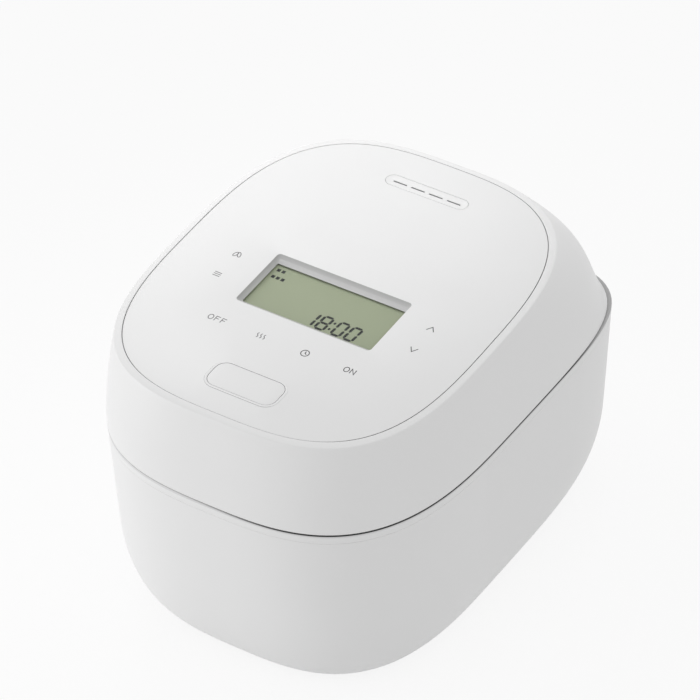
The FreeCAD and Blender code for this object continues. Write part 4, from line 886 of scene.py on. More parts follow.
def circuit(name, tone):
    """A lacquered circuit board with a hint of tracks."""
    finish = Finish(name, {"IOR": 1.5})
    roughness, rarity, contrast = 0.35, 0.55, 0.5
    tracks = finish.noise(scale=260, detail=0, place=finish.place((1, 1, 0.12))) > rarity
    finish.set("Base Color", finish.tint(tracks * contrast, tone, darkest=1, lightest=1.8))
    finish.set("Roughness", roughness + tracks * 0.1)
    finish.bump(tracks, strength=0.3, depth=0.00004)
    return finish.material


def display_sheet(name, tone):
    """The grey-green reflector behind the display's figures."""
    finish = Finish(name, {"IOR": 1.45})
    roughness = 0.5
    cloud = finish.noise(scale=30, detail=2)
    finish.set("Base Color", finish.tint(cloud, tone, darkest=0.97, lightest=1.03))
    finish.set("Roughness", roughness + cloud.swing(0.1))
    return finish.material


def clear_lens(name):
    """A clear window that lets the display show through."""
    finish = Finish(name, {"Alpha": 0.03, "Base Color": (0.9, 0.92, 0.9, 1), "IOR": 1.49})
    smoothest = 0.06
    finish.set("Roughness", smoothest + finish.noise(scale=40, detail=2) * 0.03)
    return finish.material


def printed(name, tone):
    """Screen printing ink."""
    finish = Finish(name, {"IOR": 1.45, "Specular IOR Level": 0.1})
    roughness = 0.5
    grain = finish.noise(scale=2200, detail=2)
    finish.set("Base Color", finish.tint(grain, tone, darkest=0.9, lightest=1.1))
    finish.set("Roughness", roughness + grain.swing(0.1))
    return finish.material


def studio_floor(name, tone):
    """A pale floor that shows white around the object and keeps its shadow."""
    finish = Finish(name, {"Base Color": (*tone, 1), "Roughness": 0.9})
    whitening = 0.86
    glow = finish.node("ShaderNodeEmission", {}, {"Color": (1, 1, 1, 1), "Strength": 1.0})
    inputs = {0: seen_rays(finish) * whitening, 1: finish.shader.outputs[0], 2: glow.outputs[0]}
    blend = finish.node("ShaderNodeMixShader", {}, inputs)
    finish.feed(finish.tree.nodes["Material Output"].inputs["Surface"], blend.outputs[0])
    return finish.material


# Repeated blocks and screws


def new_geometry_tree(name, sockets):
    """A geometry tree with named inputs; hands back the tree and its input node."""
    group = bpy.data.node_groups.new(name, "GeometryNodeTree")
    group.interface.new_socket("Geometry", in_out="OUTPUT", socket_type="NodeSocketGeometry")
    for label, kind in sockets.items():
        group.interface.new_socket(label, in_out="INPUT", socket_type=kind)
    tree = Tree(group)
    return tree, tree.node("NodeGroupInput", {}, {}).outputs


def end_tree(tree, geometry, material):
    """Ends a geometry tree in plain faces with a material."""
    real = tree.node("GeometryNodeRealizeInstances", {}, {"Geometry": geometry})
    dressed = tree.node("GeometryNodeSetMaterial", {}, {"Geometry": real.outputs[0], "Material": material})
    tree.node("NodeGroupOutput", {}, {"Geometry": dressed.outputs[0]})
    return tree.tree


def block_row_tree():
    """Equal blocks in a row along X."""
    tree, given = new_geometry_tree("block_row", {
        "Count": "NodeSocketInt", "Step": "NodeSocketFloat", "Start": "NodeSocketVector",
        "Block": "NodeSocketVector", "Material": "NodeSocketMaterial",
    })
    step = tree.node("ShaderNodeCombineXYZ", {}, {"X": given["Step"]})
    line = tree.node("GeometryNodeMeshLine", {}, {
        "Count": given["Count"], "Start Location": given["Start"], "Offset": step.outputs[0],
    })
    brick = tree.node("GeometryNodeMeshCube", {}, {"Size": given["Block"]})
    placed = tree.node("GeometryNodeInstanceOnPoints", {}, {
        "Points": line.outputs[0], "Instance": brick.outputs[0],
    })
    return end_tree(tree, placed.outputs[0], given["Material"])


def screw_tree():
    """Screws from below at the points of a mesh: a rounded head with a cross recess, and a shank."""
    tree, given = new_geometry_tree("screws", {
        "Places": "NodeSocketGeometry", "Head": "NodeSocketFloat", "Height": "NodeSocketFloat",
        "Shank": "NodeSocketFloat", "Length": "NodeSocketFloat", "Recess": "NodeSocketFloat",
        "Material": "NodeSocketMaterial",
    })
    sides, shank_sides = 32, 24
    edge_share, crown_share, crown_narrowing = 0.55, 0.45, 0.72
    slot_length, slot_depth, overlap = 4.2, 1.1, 0.0002

    def sized(x, y, z):
        return tree.node("ShaderNodeCombineXYZ", {}, {"X": x, "Y": y, "Z": z}).outputs[0]

    def raised(z, kind, sizes):
        """A simple shape, lifted by a height."""
        shape = tree.node(kind, {}, sizes).outputs[0]
        inputs = {"Geometry": shape, "Translation": sized(0, 0, z)}
        return tree.node("GeometryNodeTransform", {}, inputs).outputs[0]

    def joined(operation, inputs, shapes):
        """A boolean node that takes some shapes at its second socket."""
        boolean = tree.node("GeometryNodeMeshBoolean", {"operation": operation}, inputs)
        for shape in shapes:
            tree.tree.links.new(shape, boolean.inputs["Mesh 2"])
        return boolean.outputs[0]

    head, height = Value(tree, given["Head"]), Value(tree, given["Height"])
    reach, recess = Value(tree, given["Length"]), Value(tree, given["Recess"])
    edge = raised(height * (-edge_share / 2), "GeometryNodeMeshCylinder", {
        "Vertices": sides, "Radius": head, "Depth": height * edge_share,
    })
    crown = raised(height * -1, "GeometryNodeMeshCone", {
        "Vertices": sides, "Radius Top": head, "Radius Bottom": head * crown_narrowing,
        "Depth": height * crown_share,
    })
    shank = raised(reach * 0.5 - overlap, "GeometryNodeMeshCylinder", {
        "Vertices": shank_sides, "Radius": given["Shank"], "Depth": reach,
    })
    bars = []
    for across, along in ((recess * slot_length, recess), (recess, recess * slot_length)):
        size = sized(across, along, height * slot_depth)
        bars.append(raised(height * -1, "GeometryNodeMeshCube", {"Size": size}))
    solid = joined("UNION", {}, (edge, crown, shank))
    screw = joined("DIFFERENCE", {"Mesh 1": solid}, bars)
    placed = tree.node("GeometryNodeInstanceOnPoints", {}, {"Points": given["Places"], "Instance": screw})
    return end_tree(tree, placed.outputs[0], given["Material"])


def grow(name, tree, places=(), **values):
    """Runs a geometry tree on some points and hands back its plain result."""
    data = bpy.data.meshes.new(name)
    data.from_pydata(places, [], [])
    piece = add_object(name, data)
    modifier = piece.modifiers.new(name, "NODES")
    modifier.node_group = tree
    for item in tree.interface.items_tree:
        if item.in_out == "INPUT" and item.name in values:
            modifier[item.identifier] = values[item.name]
    settle(piece)
    smooth(piece.data)
    return piece


# Pieces


class COOKER_OT_case(bpy.types.Operator):
    """Builds the moulded case with its exhaust slots, and the upper frame on it"""

    bl_idname = "cooker.case"
    bl_label = "Case"

    def execute(self, context):
        white = moulded("satin_case", settings().colours.case_white, 0.42)
        present(self.shell(), "body", "case_white", white, "body_shell")
        present(self.upper_frame(), "body", "case_white", white, "body_rim")
        return {"FINISHED"}

    def shell(self):
        case = settings().case
        foot_steps, wall_steps = 20, 10
        lowest = math.asin(1 - case.foot / case.foot_rise)
        turns = [lowest * (1 - step / foot_steps) for step in range(foot_steps + 1)]
        foot = [case.foot_rise * (1 - math.sin(turn)) for turn in turns]
        rise = case.frame_foot - case.foot_rise
        straight = [case.foot_rise + rise * step / wall_steps for step in range(1, wall_steps + 1)]
        outside = [case_loop(height) for height in foot + straight]
        inside = [case_loop(height, case.wall) for height in straight[::-2] + foot[::-4]]
        skin = Skin()
        first, last = skin.walls(outside + inside)
        skin.wall(last, first)
        shell = skin.piece("white_case")
        reach = case.back_reach
        slot_middle = case.slot_low + case.slot_height / 2
        slots = grow(
            "exhaust_slots", block_row_tree(), Count=case.slot_count, Step=case.slot_step,
            Start=(case.slot_start + case.slot_width / 2, AXIS_Y + reach, slot_middle),
            Block=(case.slot_width, reach / 2, case.slot_height)
        )
        play = Vector((case.inlet_play, 0, case.inlet_play))
        window = block("inlet_window", inlet_low - play, inlet_high + play + Vector((0, reach, 0)))
        return ease(carve(shell, slots, window), case.edge)

    def upper_frame(self):
        case = settings().case
        # inside is the painted shade of the deck in the seam, the pot's seat and the latch window.
        edge, inside = case.frame_edge, case.deck_shade
        plain_top, shade_foot = case.deck - edge * 1.5, case.deck - edge * 1.3
        outward_steps = 3
        skin = Skin()
        sections = [case_loop(case.frame_foot, case.edge), case_loop(case.frame_foot + case.edge)]
        foot, rim = skin.walls(sections + [case_loop(plain_top)])
        rounding = bend(case_loop(case.deck - edge), case_loop(case.deck), case_loop(case.deck, edge), 8)
        # The frame's rounded rim below the lid gets painted shade.
        _, rim = skin.walls([case_loop(shade_foot)] + rounding[:outward_steps], case.rim_shade, rim)
        # Painted shade in the seam: from the rim's shade at the left to full at the right, and on to the deck's
        # shade at the rear ledge.
        seam_shade = []
        for point in rounding[-1]:
            tone = case.rim_shade + (1 - case.rim_shade) * ramp(point.x, *case.seam_fade)
            seam_shade.append(tone + (inside - tone) * ramp(point.y, *case.ledge_fade))
        _, rim = skin.walls(rounding[outward_steps:], seam_shade, rim)
        _, rim = skin.walls([case_loop(case.deck, edge * 2)], inside, rim)
        sections = bend(
            circle_loop(case.seat_radius + case.edge, case.deck), circle_loop(case.seat_radius, case.deck),
            circle_loop(case.seat_radius, case.deck - case.edge), 3
        )
        radius = case.opening_radius
        sections += [circle_loop(case.seat_radius, case.seat_floor), circle_loop(radius, case.seat_floor)]
        sections += [circle_loop(radius, case.frame_foot)]
        seat, hole = skin.walls(sections, inside)
        corners = ((-case.window_half, case.window_front), (case.window_half, case.window_back))
        sections = [rectangle_loop(*corners, z) for z in (case.deck, case.frame_foot)]
        window, under = skin.walls(sections, inside)
        skin.fill(rim, seat, window)
        skin.fill(foot, hole, under)
        low = (-case.trough_half, case.trough_front, case.trough_floor)
        trough = block("hinge_trough", low, (case.trough_half, AXIS_Y + case.back_reach * 2, case.deck * 2))
        return carve(skin.piece("upper_frame"), trough)


class COOKER_OT_lid(bpy.types.Operator):
    """Builds the lid's outer shell and the top panel in it"""

    bl_idname = "cooker.lid"
    bl_label = "Lid"

    def execute(self, context):
        colours = settings().colours
        present(self.shell(), "lid", "case_white", bpy.data.materials["satin_case"], "lid_shell")
        white = moulded("satin_panel", colours.panel_white, 0.36, 3200, 0.000012)
        present(self.top_panel(), "lid", "panel_white", white, "lid_top_panel")
        return {"FINISHED"}

    def shell(self):
        case, lid, panel = settings().case, settings().lid, settings().panel
        wall_steps, inner_steps = 28, 6
        height = panel.middle_z - lid.foot
        foot_share = lid.foot_edge / height
        top_share = 1 - lid.top_edge / height
        edge, inner = lid_loop(1), self.rim_line()
        skin = Skin()
        sections = bend(lid_loop(0, lid.foot_edge), lid_loop(0), lid_loop(foot_share), 4)
        rise = top_share - foot_share
        sections += [lid_loop(foot_share + rise * step / wall_steps) for step in range(1, wall_steps)]
        sections += bend(lid_loop(top_share), edge, between(edge, inner, lid.top_edge / lid.shoulder), 8)
        rounding, shade_top = groove_sizes()
        start = between(edge, inner, 1 - rounding / lid.shoulder)
        sections += bend(start, inner, panel_loop(panel.gap, -rounding), 4)
        first, last = skin.walls(sections)
        under = panel.thick + lid.shelf_thick
        sections = [panel_loop(panel.gap, -depth) for depth in (shade_top, panel.thick)]
        sections += [panel_loop(-lid.shelf_width, -depth) for depth in (panel.thick, under)]
        # The walls of the gap round the panel get the groove's painted shade.
        _, last = skin.walls(sections, groove_shades(), last)
        roof = 1 - (under - lid.shoulder_drop) / height
        sections = [lid_loop(roof * step / inner_steps, case.wall) for step in range(inner_steps, -1, -1)]
        sections += [lid_loop(0, lid.foot_edge + case.edge)]
        # The lid's inner walls get painted shade.
        _, last = skin.walls(sections, lid.inside_shade, last)
        skin.wall(last, first)
        shell = skin.piece("lid_cover")
        low = (-lid.notch_half, lid.notch_front, lid.foot - case.wall)
        notch = block("hinge_notch", low, (lid.notch_half, AXIS_Y + case.back_reach, lid.notch_top))
        return carve(shell, notch)

    def rim_line(self):
        """The shoulder's inner edge, level with the panel at the right and back."""
        lid, panel = settings().lid, settings().panel
        right_fade = (panel.half_width * 0.5, panel.half_width * 0.9)
        back_fade = (0, 0.09)
        loop = []
        for point in panel_loop(panel.gap, 0):
            level = max(ramp(point.x, *right_fade), ramp(point.y, *back_fade))
            loop.append(point + Vector((0, 0, lid.proud * (1 - level))))
        return loop

    def top_panel(self):
        panel = settings().panel
        edge, fine = panel.edge, panel.edge / 4
        rounding, shade_top = groove_sizes()
        skin = Skin()
        rim, last = skin.walls(bend(panel_loop(-rounding, 0), panel_loop(0, 0), panel_loop(0, -rounding), 4))
        sections = [panel_loop(0, -shade_top), panel_loop(0, -panel.thick)]
        # The panel's edge wall gets the groove's painted shade.
        _, rim_foot = skin.walls(sections, groove_shades(), last)
        near = fine / panel.thick
        sections = bend(display_loop(0, fine, 0), display_loop(0, 0, 0), display_loop(near, 0, -fine), 3)
        display, last = skin.walls(sections)
        # The display's walls get painted shade, darkest just under the panel's edge.
        _, last = skin.walls([display_loop(near * 2, 0, -fine * 2)], slope_shade(0), last)
        _, display_foot = skin.walls([display_loop(1, 0, -panel.thick)], slope_shade(1), last)
        button, button_foot = self.button_ring(skin)
        vent, last = skin.walls(bend(vent_loop(edge / 2, 0), vent_loop(0, 0), vent_loop(0, -edge / 2), 4))
        # The vent opening's wall in the panel is painted in full shade.
        _, vent_foot = skin.walls([vent_loop(0, -edge), vent_loop(0, -panel.thick)], 1, last)
        skin.fill(rim, display, button, vent)
        skin.fill(rim_foot, display_foot, button_foot, vent_foot)
        return skin.piece("top_plate")

    def button_ring(self, skin):
        """A low flat rim round the button, and the opening's wall in it."""
        panel = settings().panel
        wide, rise, edge = panel.rim_width, panel.rim_rise, panel.edge / 4
        # Painted shade on the rim's foot and in the gap inside it.
        outer, inner = button_shades()
        foot = bend(button_loop(wide + edge * 2, 0), button_loop(wide, 0), button_loop(wide, rise / 2), 3)
        first, last = skin.walls(foot[:1])
        _, last = skin.walls(foot[1:], outer, last)
        top = bend(button_loop(wide, rise / 2), button_loop(wide, rise), button_loop(wide - edge, rise), 3)
        top += bend(button_loop(edge, rise), button_loop(0, rise), button_loop(0, rise - edge), 3)
        _, last = skin.walls(top[1:-1], 0, last)
        _, last = skin.walls([top[-1], button_loop(0, -panel.thick)], inner, last)
        return first, last


class COOKER_OT_display(bpy.types.Operator):
    """Builds the display: bezel, clear lens, reflector and figures"""

    bl_idname = "cooker.display"
    bl_label = "Display"
    glass_layers = 2

    def execute(self, context):
        colours, panel = settings().colours, settings().panel
        white = bpy.data.materials["satin_panel"]
        glass_z = -panel.thick * self.glass_layers
        present(self.bezel(glass_z), "lid", "panel_white", white, "display_bezel")
        face_z = glass_z - panel.lens_thick
        lens = self.slab("display_window", glass_z, face_z + panel.lens_thick / 10)
        present(lens, "lid", "display_clear", clear_lens("clear_window"), "display_lens")
        module = self.slab("display_face", face_z, face_z - panel.module_thick)
        green = display_sheet("display_reflector", colours.display)
        present(module, "lid", "display_green", green, "lcd_module")
        ink = printed("display_ink", colours.ink)
        present(self.figures(face_z), "lid", "display_green", ink)
        return {"FINISHED"}

    def bezel(self, glass_z):
        panel = settings().panel
        layers = self.glass_layers
        skin = Skin()
        margin = panel.bezel_margin
        sections = [display_loop(0, margin, -panel.thick), display_loop(0, margin, glass_z)]
        first, last = skin.walls(sections)
        # Painted shade on the bezel's walls.
        _, last = skin.walls([display_loop(layers, 0, glass_z)], slope_shade(layers), last)
        _, last = skin.walls([display_loop(1, 0, -panel.thick)], slope_shade(1), last)
        skin.wall(last, first)
        return skin.piece("display_frame")

    def slab(self, name, top, foot):
        panel = settings().panel
        edge, margin = panel.edge / 4, panel.lens_margin
        levels = ((margin - edge, top), (margin, top - edge), (margin, foot))
        skin = Skin()
        skin.solid([display_loop(self.glass_layers, grow_by, height) for grow_by, height in levels])
        return skin.piece(name)

    def figures(self, face_z):
        """A clock reading in slanted seven-part figures, and a small level mark."""
        skin = Skin()
        wide, tall, stroke, slant, foot = 0.0061, 0.0122, 0.0018, 0.08, -0.0342
        low, high = face_z - 0.0001, face_z + 0.00004
        half, tip_gap = tall / 2, 0.25
        colon_x, colon_space, colon_half = 0.0133, 0.003, stroke * 0.8
        level_x, level_step, level_half, level_line = -0.0445, 0.0036, 0.0012, 0.0026

        def bar(x0, y0, x1, y1):
            """One slanted stroke with pointed ends."""
            along = Vector((x1 - x0, y1 - y0)).normalized() * stroke / 2
            across = Vector((-along.y, along.x))
            start, end = Vector((x0, y0)) + along * tip_gap, Vector((x1, y1)) - along * tip_gap
            plan = [start, start + along + across, end - along + across]
            plan += [end, end - along - across, start + along - across]
            skin.prism([(x + y * slant, foot + y) for x, y in plan], low, high)

        strokes = {
            "a": (0, tall, wide, tall), "g": (0, half, wide, half), "d": (0, 0, wide, 0),
            "f": (0, half, 0, tall), "e": (0, 0, 0, half),
            "b": (wide, half, wide, tall), "c": (wide, 0, wide, half),
        }
        reading = ((0.0012 - wide, "bc"), (0.0044, "abcdefg"), (0.0163, "abcdef"), (0.0257, "abcdef"))
        for offset, lit in reading:
            for part in lit:
                x0, y0, x1, y1 = strokes[part]
                bar(offset + x0, y0, offset + x1, y1)
        for y in (half - colon_space, half + colon_space):
            bar(colon_x, y - colon_half, colon_x, y + colon_half)
        for row, bars in ((0.0001, 2), (-0.0066, 3)):
            for index in range(bars):
                x = level_x + level_step * index
                skin.stroke(((x - level_half, row), (x + level_half, row)), level_line, low, high)
        return skin.piece("display_figures")


class COOKER_OT_button(bpy.types.Operator):
    """Builds the opening button with its two stems"""

    bl_idname = "cooker.button"
    bl_label = "Button"

    def execute(self, context):
        panel = settings().panel
        edge, play, rise = panel.edge / 2, -panel.button_play, panel.rim_rise
        skin = Skin()
        sections = bend(
            button_loop(play - edge, rise), button_loop(play, rise), button_loop(play, rise - edge), 4
        )
        face, last = skin.walls(sections[:-1])
        inside = play - panel.button_wall
        # The button's sides get the gap's painted shade.
        _, gap = button_shades()
        sections = [sections[-1], button_loop(play, -panel.button_skirt)]
        sections += [button_loop(inside, -panel.button_skirt), button_loop(inside, -panel.button_wall)]
        _, pocket = skin.walls(sections, gap, last)
        skin.fill(face)
        skin.fill(pocket)
        for x in (-panel.stem_space, panel.stem_space):
            stem = round_plan(x, panel.button_y, panel.stem_radius, 24)
            skin.prism(stem, -panel.stem_reach, -panel.button_wall)
        white = moulded("satin_button", settings().colours.button_white, 0.4, 2400, 0.000025)
        present(skin.piece("push_button"), "button", "button_white", white, "open_button")
        return {"FINISHED"}


class COOKER_OT_vent(bpy.types.Operator):
    """Builds the steam vent: a hollow cap with a row of slits"""

    bl_idname = "cooker.vent"
    bl_label = "Steam vent"

    def execute(self, context):
        panel = settings().panel
        radius = panel.vent_radius - panel.vent_play
        half = panel.vent_half - panel.vent_play
        edge = panel.edge
        hollow_z = panel.hollow_radius - panel.hollow_sink

        def ring(across, height):
            return stadium_loop(half - radius + across, across, panel.vent_y, height)

        def hollow(across):
            return ring(across, hollow_z - math.sqrt(panel.hollow_radius ** 2 - across ** 2))

        skin = Skin()
        hollow_steps = 10
        strip = panel.slit_width * 0.8
        start = math.sqrt(panel.hollow_radius ** 2 - hollow_z ** 2) * 0.95
        # The vent's opening wall is painted in full shade below its edge.
        foot, last = skin.walls([ring(radius, -panel.vent_depth), ring(radius, -edge)], 1)
        sections = bend(ring(radius, -edge / 2), ring(radius, 0), hollow(start), 5)
        run = strip - start
        sections += [hollow(start + run * step / hollow_steps) for step in range(1, hollow_steps + 1)]
        _, floor = skin.walls(sections, 0, last)
        floor_z = hollow_z - math.sqrt(panel.hollow_radius ** 2 - strip ** 2)
        tops, ends = [], []
        for index in range(panel.slit_count):
            middle = panel.slit_step * (index - (panel.slit_count - 1) / 2)
            top = skin.loop(self.slit(middle, floor_z))
            sections = [self.slit(middle, floor_z - edge), self.slit(middle, -panel.vent_depth)]
            # The slits' walls carry painted shade.
            _, end = skin.walls(sections, panel.slit_shade, top)
            tops.append(top)
            ends.append(end)
        skin.fill(floor, *tops)
        skin.fill(foot, *ends)
        present(skin.piece("steam_vent"), "lid", "panel_white", bpy.data.materials["satin_panel"], "vent_cap")
        return {"FINISHED"}

    def slit(self, middle, height):
        panel = settings().panel
        low = (middle - panel.slit_length / 2, panel.vent_y - panel.slit_width / 2)
        high = (middle + panel.slit_length / 2, panel.vent_y + panel.slit_width / 2)
        return [on_panel(point) for point in rectangle_loop(low, high, height)]


class COOKER_OT_marks(bpy.types.Operator):
    """Prints plain marks where the touch keys are"""

    bl_idname = "cooker.marks"
    bl_label = "Key marks"
    letter_half = 0.0021
    letter_step = 0.0046

    def execute(self, context):
        colours = settings().colours
        dark, pale = Skin(), Skin()
        self.arrows(dark)
        self.off_word(pale)
        self.heat_waves(pale)
        self.clock(dark)
        self.on_word(dark)
        self.grains(pale)
        self.list_mark(pale)
        ink = printed("key_print", colours.print_grey)
        present(dark.piece("key_marks"), "lid", "panel_white", ink)
        ink = printed("key_print_pale", colours.print_pale)
        present(pale.piece("pale_key_marks"), "lid", "panel_white", ink)
        return {"FINISHED"}

    def line(self, skin, x, y, points, closed=False):
        """One printed line about a place on the panel."""
        width = settings().panel.key_line
        skin.stroke([(x + px, y + py) for px, py in points], width, -INK_SINK, INK_RISE, closed)

    def letter_o(self, skin, x):
        narrowing = 0.8
        plan = [(px * narrowing, py) for px, py in round_plan(0, 0, self.letter_half, 36)]
        self.line(skin, x, settings().panel.key_row, plan, True)

    def arrows(self, skin):
        half, rise = 0.0026, 0.0019
        for x, y, way in ((0.0724, -0.0051, rise), (0.0726, -0.0267, -rise)):
            self.line(skin, x, y, ((-half, -way), (0, way), (half, -way)))

    def off_word(self, skin):
        row, tall = settings().panel.key_row, self.letter_half
        middle, left, top_right, bar_right, bar_y = -0.0492, -0.0013, 0.0015, 0.0011, 0.0002
        self.letter_o(skin, middle - self.letter_step)
        for x in (middle, middle + self.letter_step):
            self.line(skin, x, row, ((left, -tall), (left, tall), (top_right, tall)))
            self.line(skin, x, row, ((left, bar_y), (bar_right, bar_y)))

    def heat_waves(self, skin):
        half_steps, swing = 6, 0.0006
        wave = []
        for step in range(half_steps * 2 + 1):
            share = step / half_steps
            wave.append((swing * math.sin(share * math.pi), self.letter_half * (share - 1)))
        for x in (-0.0188, -0.0164, -0.014):
            self.line(skin, x, settings().panel.key_row, wave)

    def clock(self, skin):
        row, x, radius = settings().panel.key_row, 0.0162, 0.0027
        self.line(skin, x, row, round_plan(0, 0, radius, 36), True)
        self.line(skin, x, row, ((0, 0.0017), (0, 0), (0.0013, -0.0008)))

    def on_word(self, skin):
        row, tall, half = settings().panel.key_row, self.letter_half, 0.0015
        self.letter_o(skin, 0.0467)
        self.line(skin, 0.0513, row, ((-half, -tall), (-half, tall), (half, -tall), (half, tall)))

    def grains(self, skin):
        radius, narrowing = 0.0022, 0.5
        for x, y, lean in ((-0.0735, -0.0049, 70), (-0.0711, -0.0045, 110)):
            turn = Matrix.Rotation(math.radians(lean), 2)
            plan = [turn @ Vector((px, py * narrowing)) for px, py in round_plan(0, 0, radius, 24)]
            self.line(skin, x, y, plan, True)

    def list_mark(self, skin):
        x, y, half, step = -0.073, -0.0264, 0.0026, 0.0016
        for lift in (-step, 0, step):
            self.line(skin, x, y + lift, ((-half, 0), (half, 0)))


class COOKER_OT_pot(bpy.types.Operator):
    """Builds the inner pot and finishes the well it stands in"""

    bl_idname = "cooker.pot"
    bl_label = "Pot"

    def execute(self, context):
        colours = settings().colours
        outside, inside, flange, flange_thick = 0.103, 0.101, 0.115, 0.002
        foot, top, under = pot_low.z, pot_high.z, pot_high.z - flange_thick
        rounding, lip = 0.02, 0.0008
        middle = outside - rounding
        profile = [(0, foot)] + arc(middle, foot + rounding, rounding, -90, 0, 16)
        profile += [(outside, under - lip)] + arc(outside + lip, under - lip, lip, 180, 90, 4)
        profile += arc(flange - lip, under + lip, lip, -90, 0, 4)
        profile += arc(flange - lip, top - lip, lip, 0, 90, 4)
        profile += arc(inside + lip * 2, top - lip * 2, lip * 2, 90, 180, 6)
        profile += arc(middle, foot + rounding, rounding - outside + inside, 0, -90, 16)
        profile += [(0, profile[-1][1])]
        skin = Skin()
        skin.lathe(profile)
        coating = speckled("speckled_coating", colours.pot_coating, colours.pot_fleck)
        present(skin.piece("rice_pot"), "body", "pot_coating", coating, "inner_pot")
        paint(moulded("well_plastic", colours.well_dark, 0.5), "well_liner")
        return {"FINISHED"}


class COOKER_OT_lid_inside(bpy.types.Operator):
    """Builds the lid's inner cover, inner lid and gasket"""

    bl_idname = "cooker.lid_inside"
    bl_label = "Inside of the lid"

    def execute(self, context):
        colours = settings().colours
        grey = moulded("lining_plastic", colours.lid_grey, 0.45, 1800)
        cover = refined("lid_inner_cover", "lid_lining", settings().case.edge)
        present(cover, "lid", "lid_inside_grey", grey, "lid_inner_cover")
        metal = spun("spun_lid", colours.steel, 0.3)
        present(self.plate(), "lid", "inner_lid_metal", metal, "inner_lid_plate")
        silicone = rubbery("grey_silicone", colours.seal)
        present(self.gasket(), "lid", "seal_rubber", silicone, "inner_lid_gasket")
        return {"FINISHED"}

    def plate(self):
        low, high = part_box("inner_lid_plate")
        edge, radius = 0.0005, high.x
        step, outer, inner = 0.0005, 0.096, 0.062
        hole_radius, hole_y = 0.0025, AXIS_Y + 0.0795
        skin = Skin()
        corner, inward = circle_loop(radius, low.z), circle_loop(radius - edge, low.z)
        rounding = bend(circle_loop(radius, high.z - edge), corner, inward, 4)
        top, rim = skin.walls([circle_loop(radius, high.z)] + rounding)
        outer_edge, ring = skin.walls([circle_loop(outer, low.z), circle_loop(outer - step, low.z + step)])
        ring_end, middle = skin.walls([circle_loop(inner, low.z + step), circle_loop(inner - step, low.z)])
        hole, hole_top = skin.walls([
            circle_loop(hole_radius, z, (0, hole_y), 32) for z in (low.z + step, high.z)
        ])
        skin.fill(rim, outer_edge)
        skin.fill(ring, ring_end, hole)
        skin.fill(middle)
        skin.fill(top, hole_top)
        return skin.piece("inner_lid")

    def gasket(self):
        low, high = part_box("inner_lid_gasket")
        width, lip, groove, groove_drop = 0.008, 0.0009, 0.0012, 0.0004
        outer, inner = high.x, high.x - width
        profile = [(outer, high.z)] + arc(outer - lip, low.z + lip, lip, 0, -90, 5)
        profile += arc(outer - width / 2, low.z + groove_drop, groove, 20, 160, 6)
        profile += arc(inner + lip, low.z + lip, lip, -90, -180, 5) + [(inner, high.z)]
        skin = Skin()
        skin.lathe(profile, closed=True)
        return skin.piece("pot_seal")


class COOKER_OT_hinge(bpy.types.Operator):
    """Finishes the hinge, the latch and the mains inlet"""

    bl_idname = "cooker.hinge"
    bl_label = "Hinge, latch and inlet"

    def execute(self, context):
        colours = settings().colours
        edge = settings().case.edge
        hinge = moulded("hinge_plastic", colours.case_white, 0.45)
        present(refined("hinge_bracket", "hinge_barrel", edge), "body", "hinge_white", hinge, "hinge_bracket")
        dark = moulded("dark_plastic", colours.hidden_dark, 0.5, 1500)
        present(refined("inlet_housing", "mains_inlet", edge), "body", "hidden_dark", dark, "inlet_housing")
        present(refined("latch_lever", "latch_hook", edge), "latch", "hidden_dark", dark, "latch_lever")
        brass = brushed("brushed_brass", colours.brass, 0.3, (1, 0.05, 1))
        present(refined("inlet_pins", "inlet_contacts", edge), "body", "contact_brass", brass, "inlet_pins")
        return {"FINISHED"}


class COOKER_OT_underside(bpy.types.Operator):
    """Builds the bottom cover, the rubber feet, and the screws of the cover and the lid"""

    bl_idname = "cooker.underside"
    bl_label = "Underside and screws"
    head_radius = 0.0035
    head_height = 0.002
    shank_radius = 0.0017
    recess_width = 0.0007
    base_circle = 0.078
    lid_boss = 0.0052
    lid_space = 0.045

    def execute(self, context):
        colours, case = settings().colours, settings().case
        grey = moulded("base_plastic", colours.base_grey, 0.5, 1600)
        present(refined("bottom_cover", "base_plate", case.edge), "body", "base_grey", grey, "bottom_cover")
        present(self.feet(), "body", "foot_rubber", rubbery("black_rubber", colours.rubber), "rubber_feet")
        steel = brushed("brushed_steel", colours.steel, 0.32, (1, 0.1, 1))
        reach = self.base_circle * math.sqrt(0.5)
        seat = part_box("bottom_cover")[0].z
        self.screws("base_screws", (reach, reach, seat), steel, "bottom_screws", "body")
        reach = case.half_width - case.wall - self.lid_boss
        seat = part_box("lid_screws")[0].z + self.head_height
        self.screws("lid_fixings", (reach, self.lid_space, seat), steel, "lid_screws", "lid")
        return {"FINISHED"}

    def screws(self, name, corner, steel, node, body):
        """Four screws about the pot's axis, put in from below."""
        reach_x, reach_y, seat = corner
        places = [(reach_x * x, AXIS_Y + reach_y * y, seat) for x in (-1, 1) for y in (-1, 1)]
        piece = grow(
            name, screw_tree(), places, Head=self.head_radius, Height=self.head_height,
            Shank=self.shank_radius, Length=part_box(node)[1].z - seat, Recess=self.recess_width, Material=steel
        )
        present(piece, body, "steel", steel, node)

    def feet(self):
        low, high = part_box("rubber_feet")
        radius, edge = 0.01, 0.0012
        hollow_edge, hollow, sunk = radius * 0.45, radius * 0.4, low.z + edge / 2
        profile = [(0, high.z), (radius, high.z)] + arc(radius - edge, low.z + edge, edge, 0, -90, 6)
        profile += [(hollow_edge, low.z), (hollow, sunk), (0, sunk)]
        skin = Skin()
        for x in (low.x + radius, high.x - radius):
            for y in (low.y + radius, high.y - radius):
                skin.lathe(profile, (x, y), 48)
        return skin.piece("foot_pads")


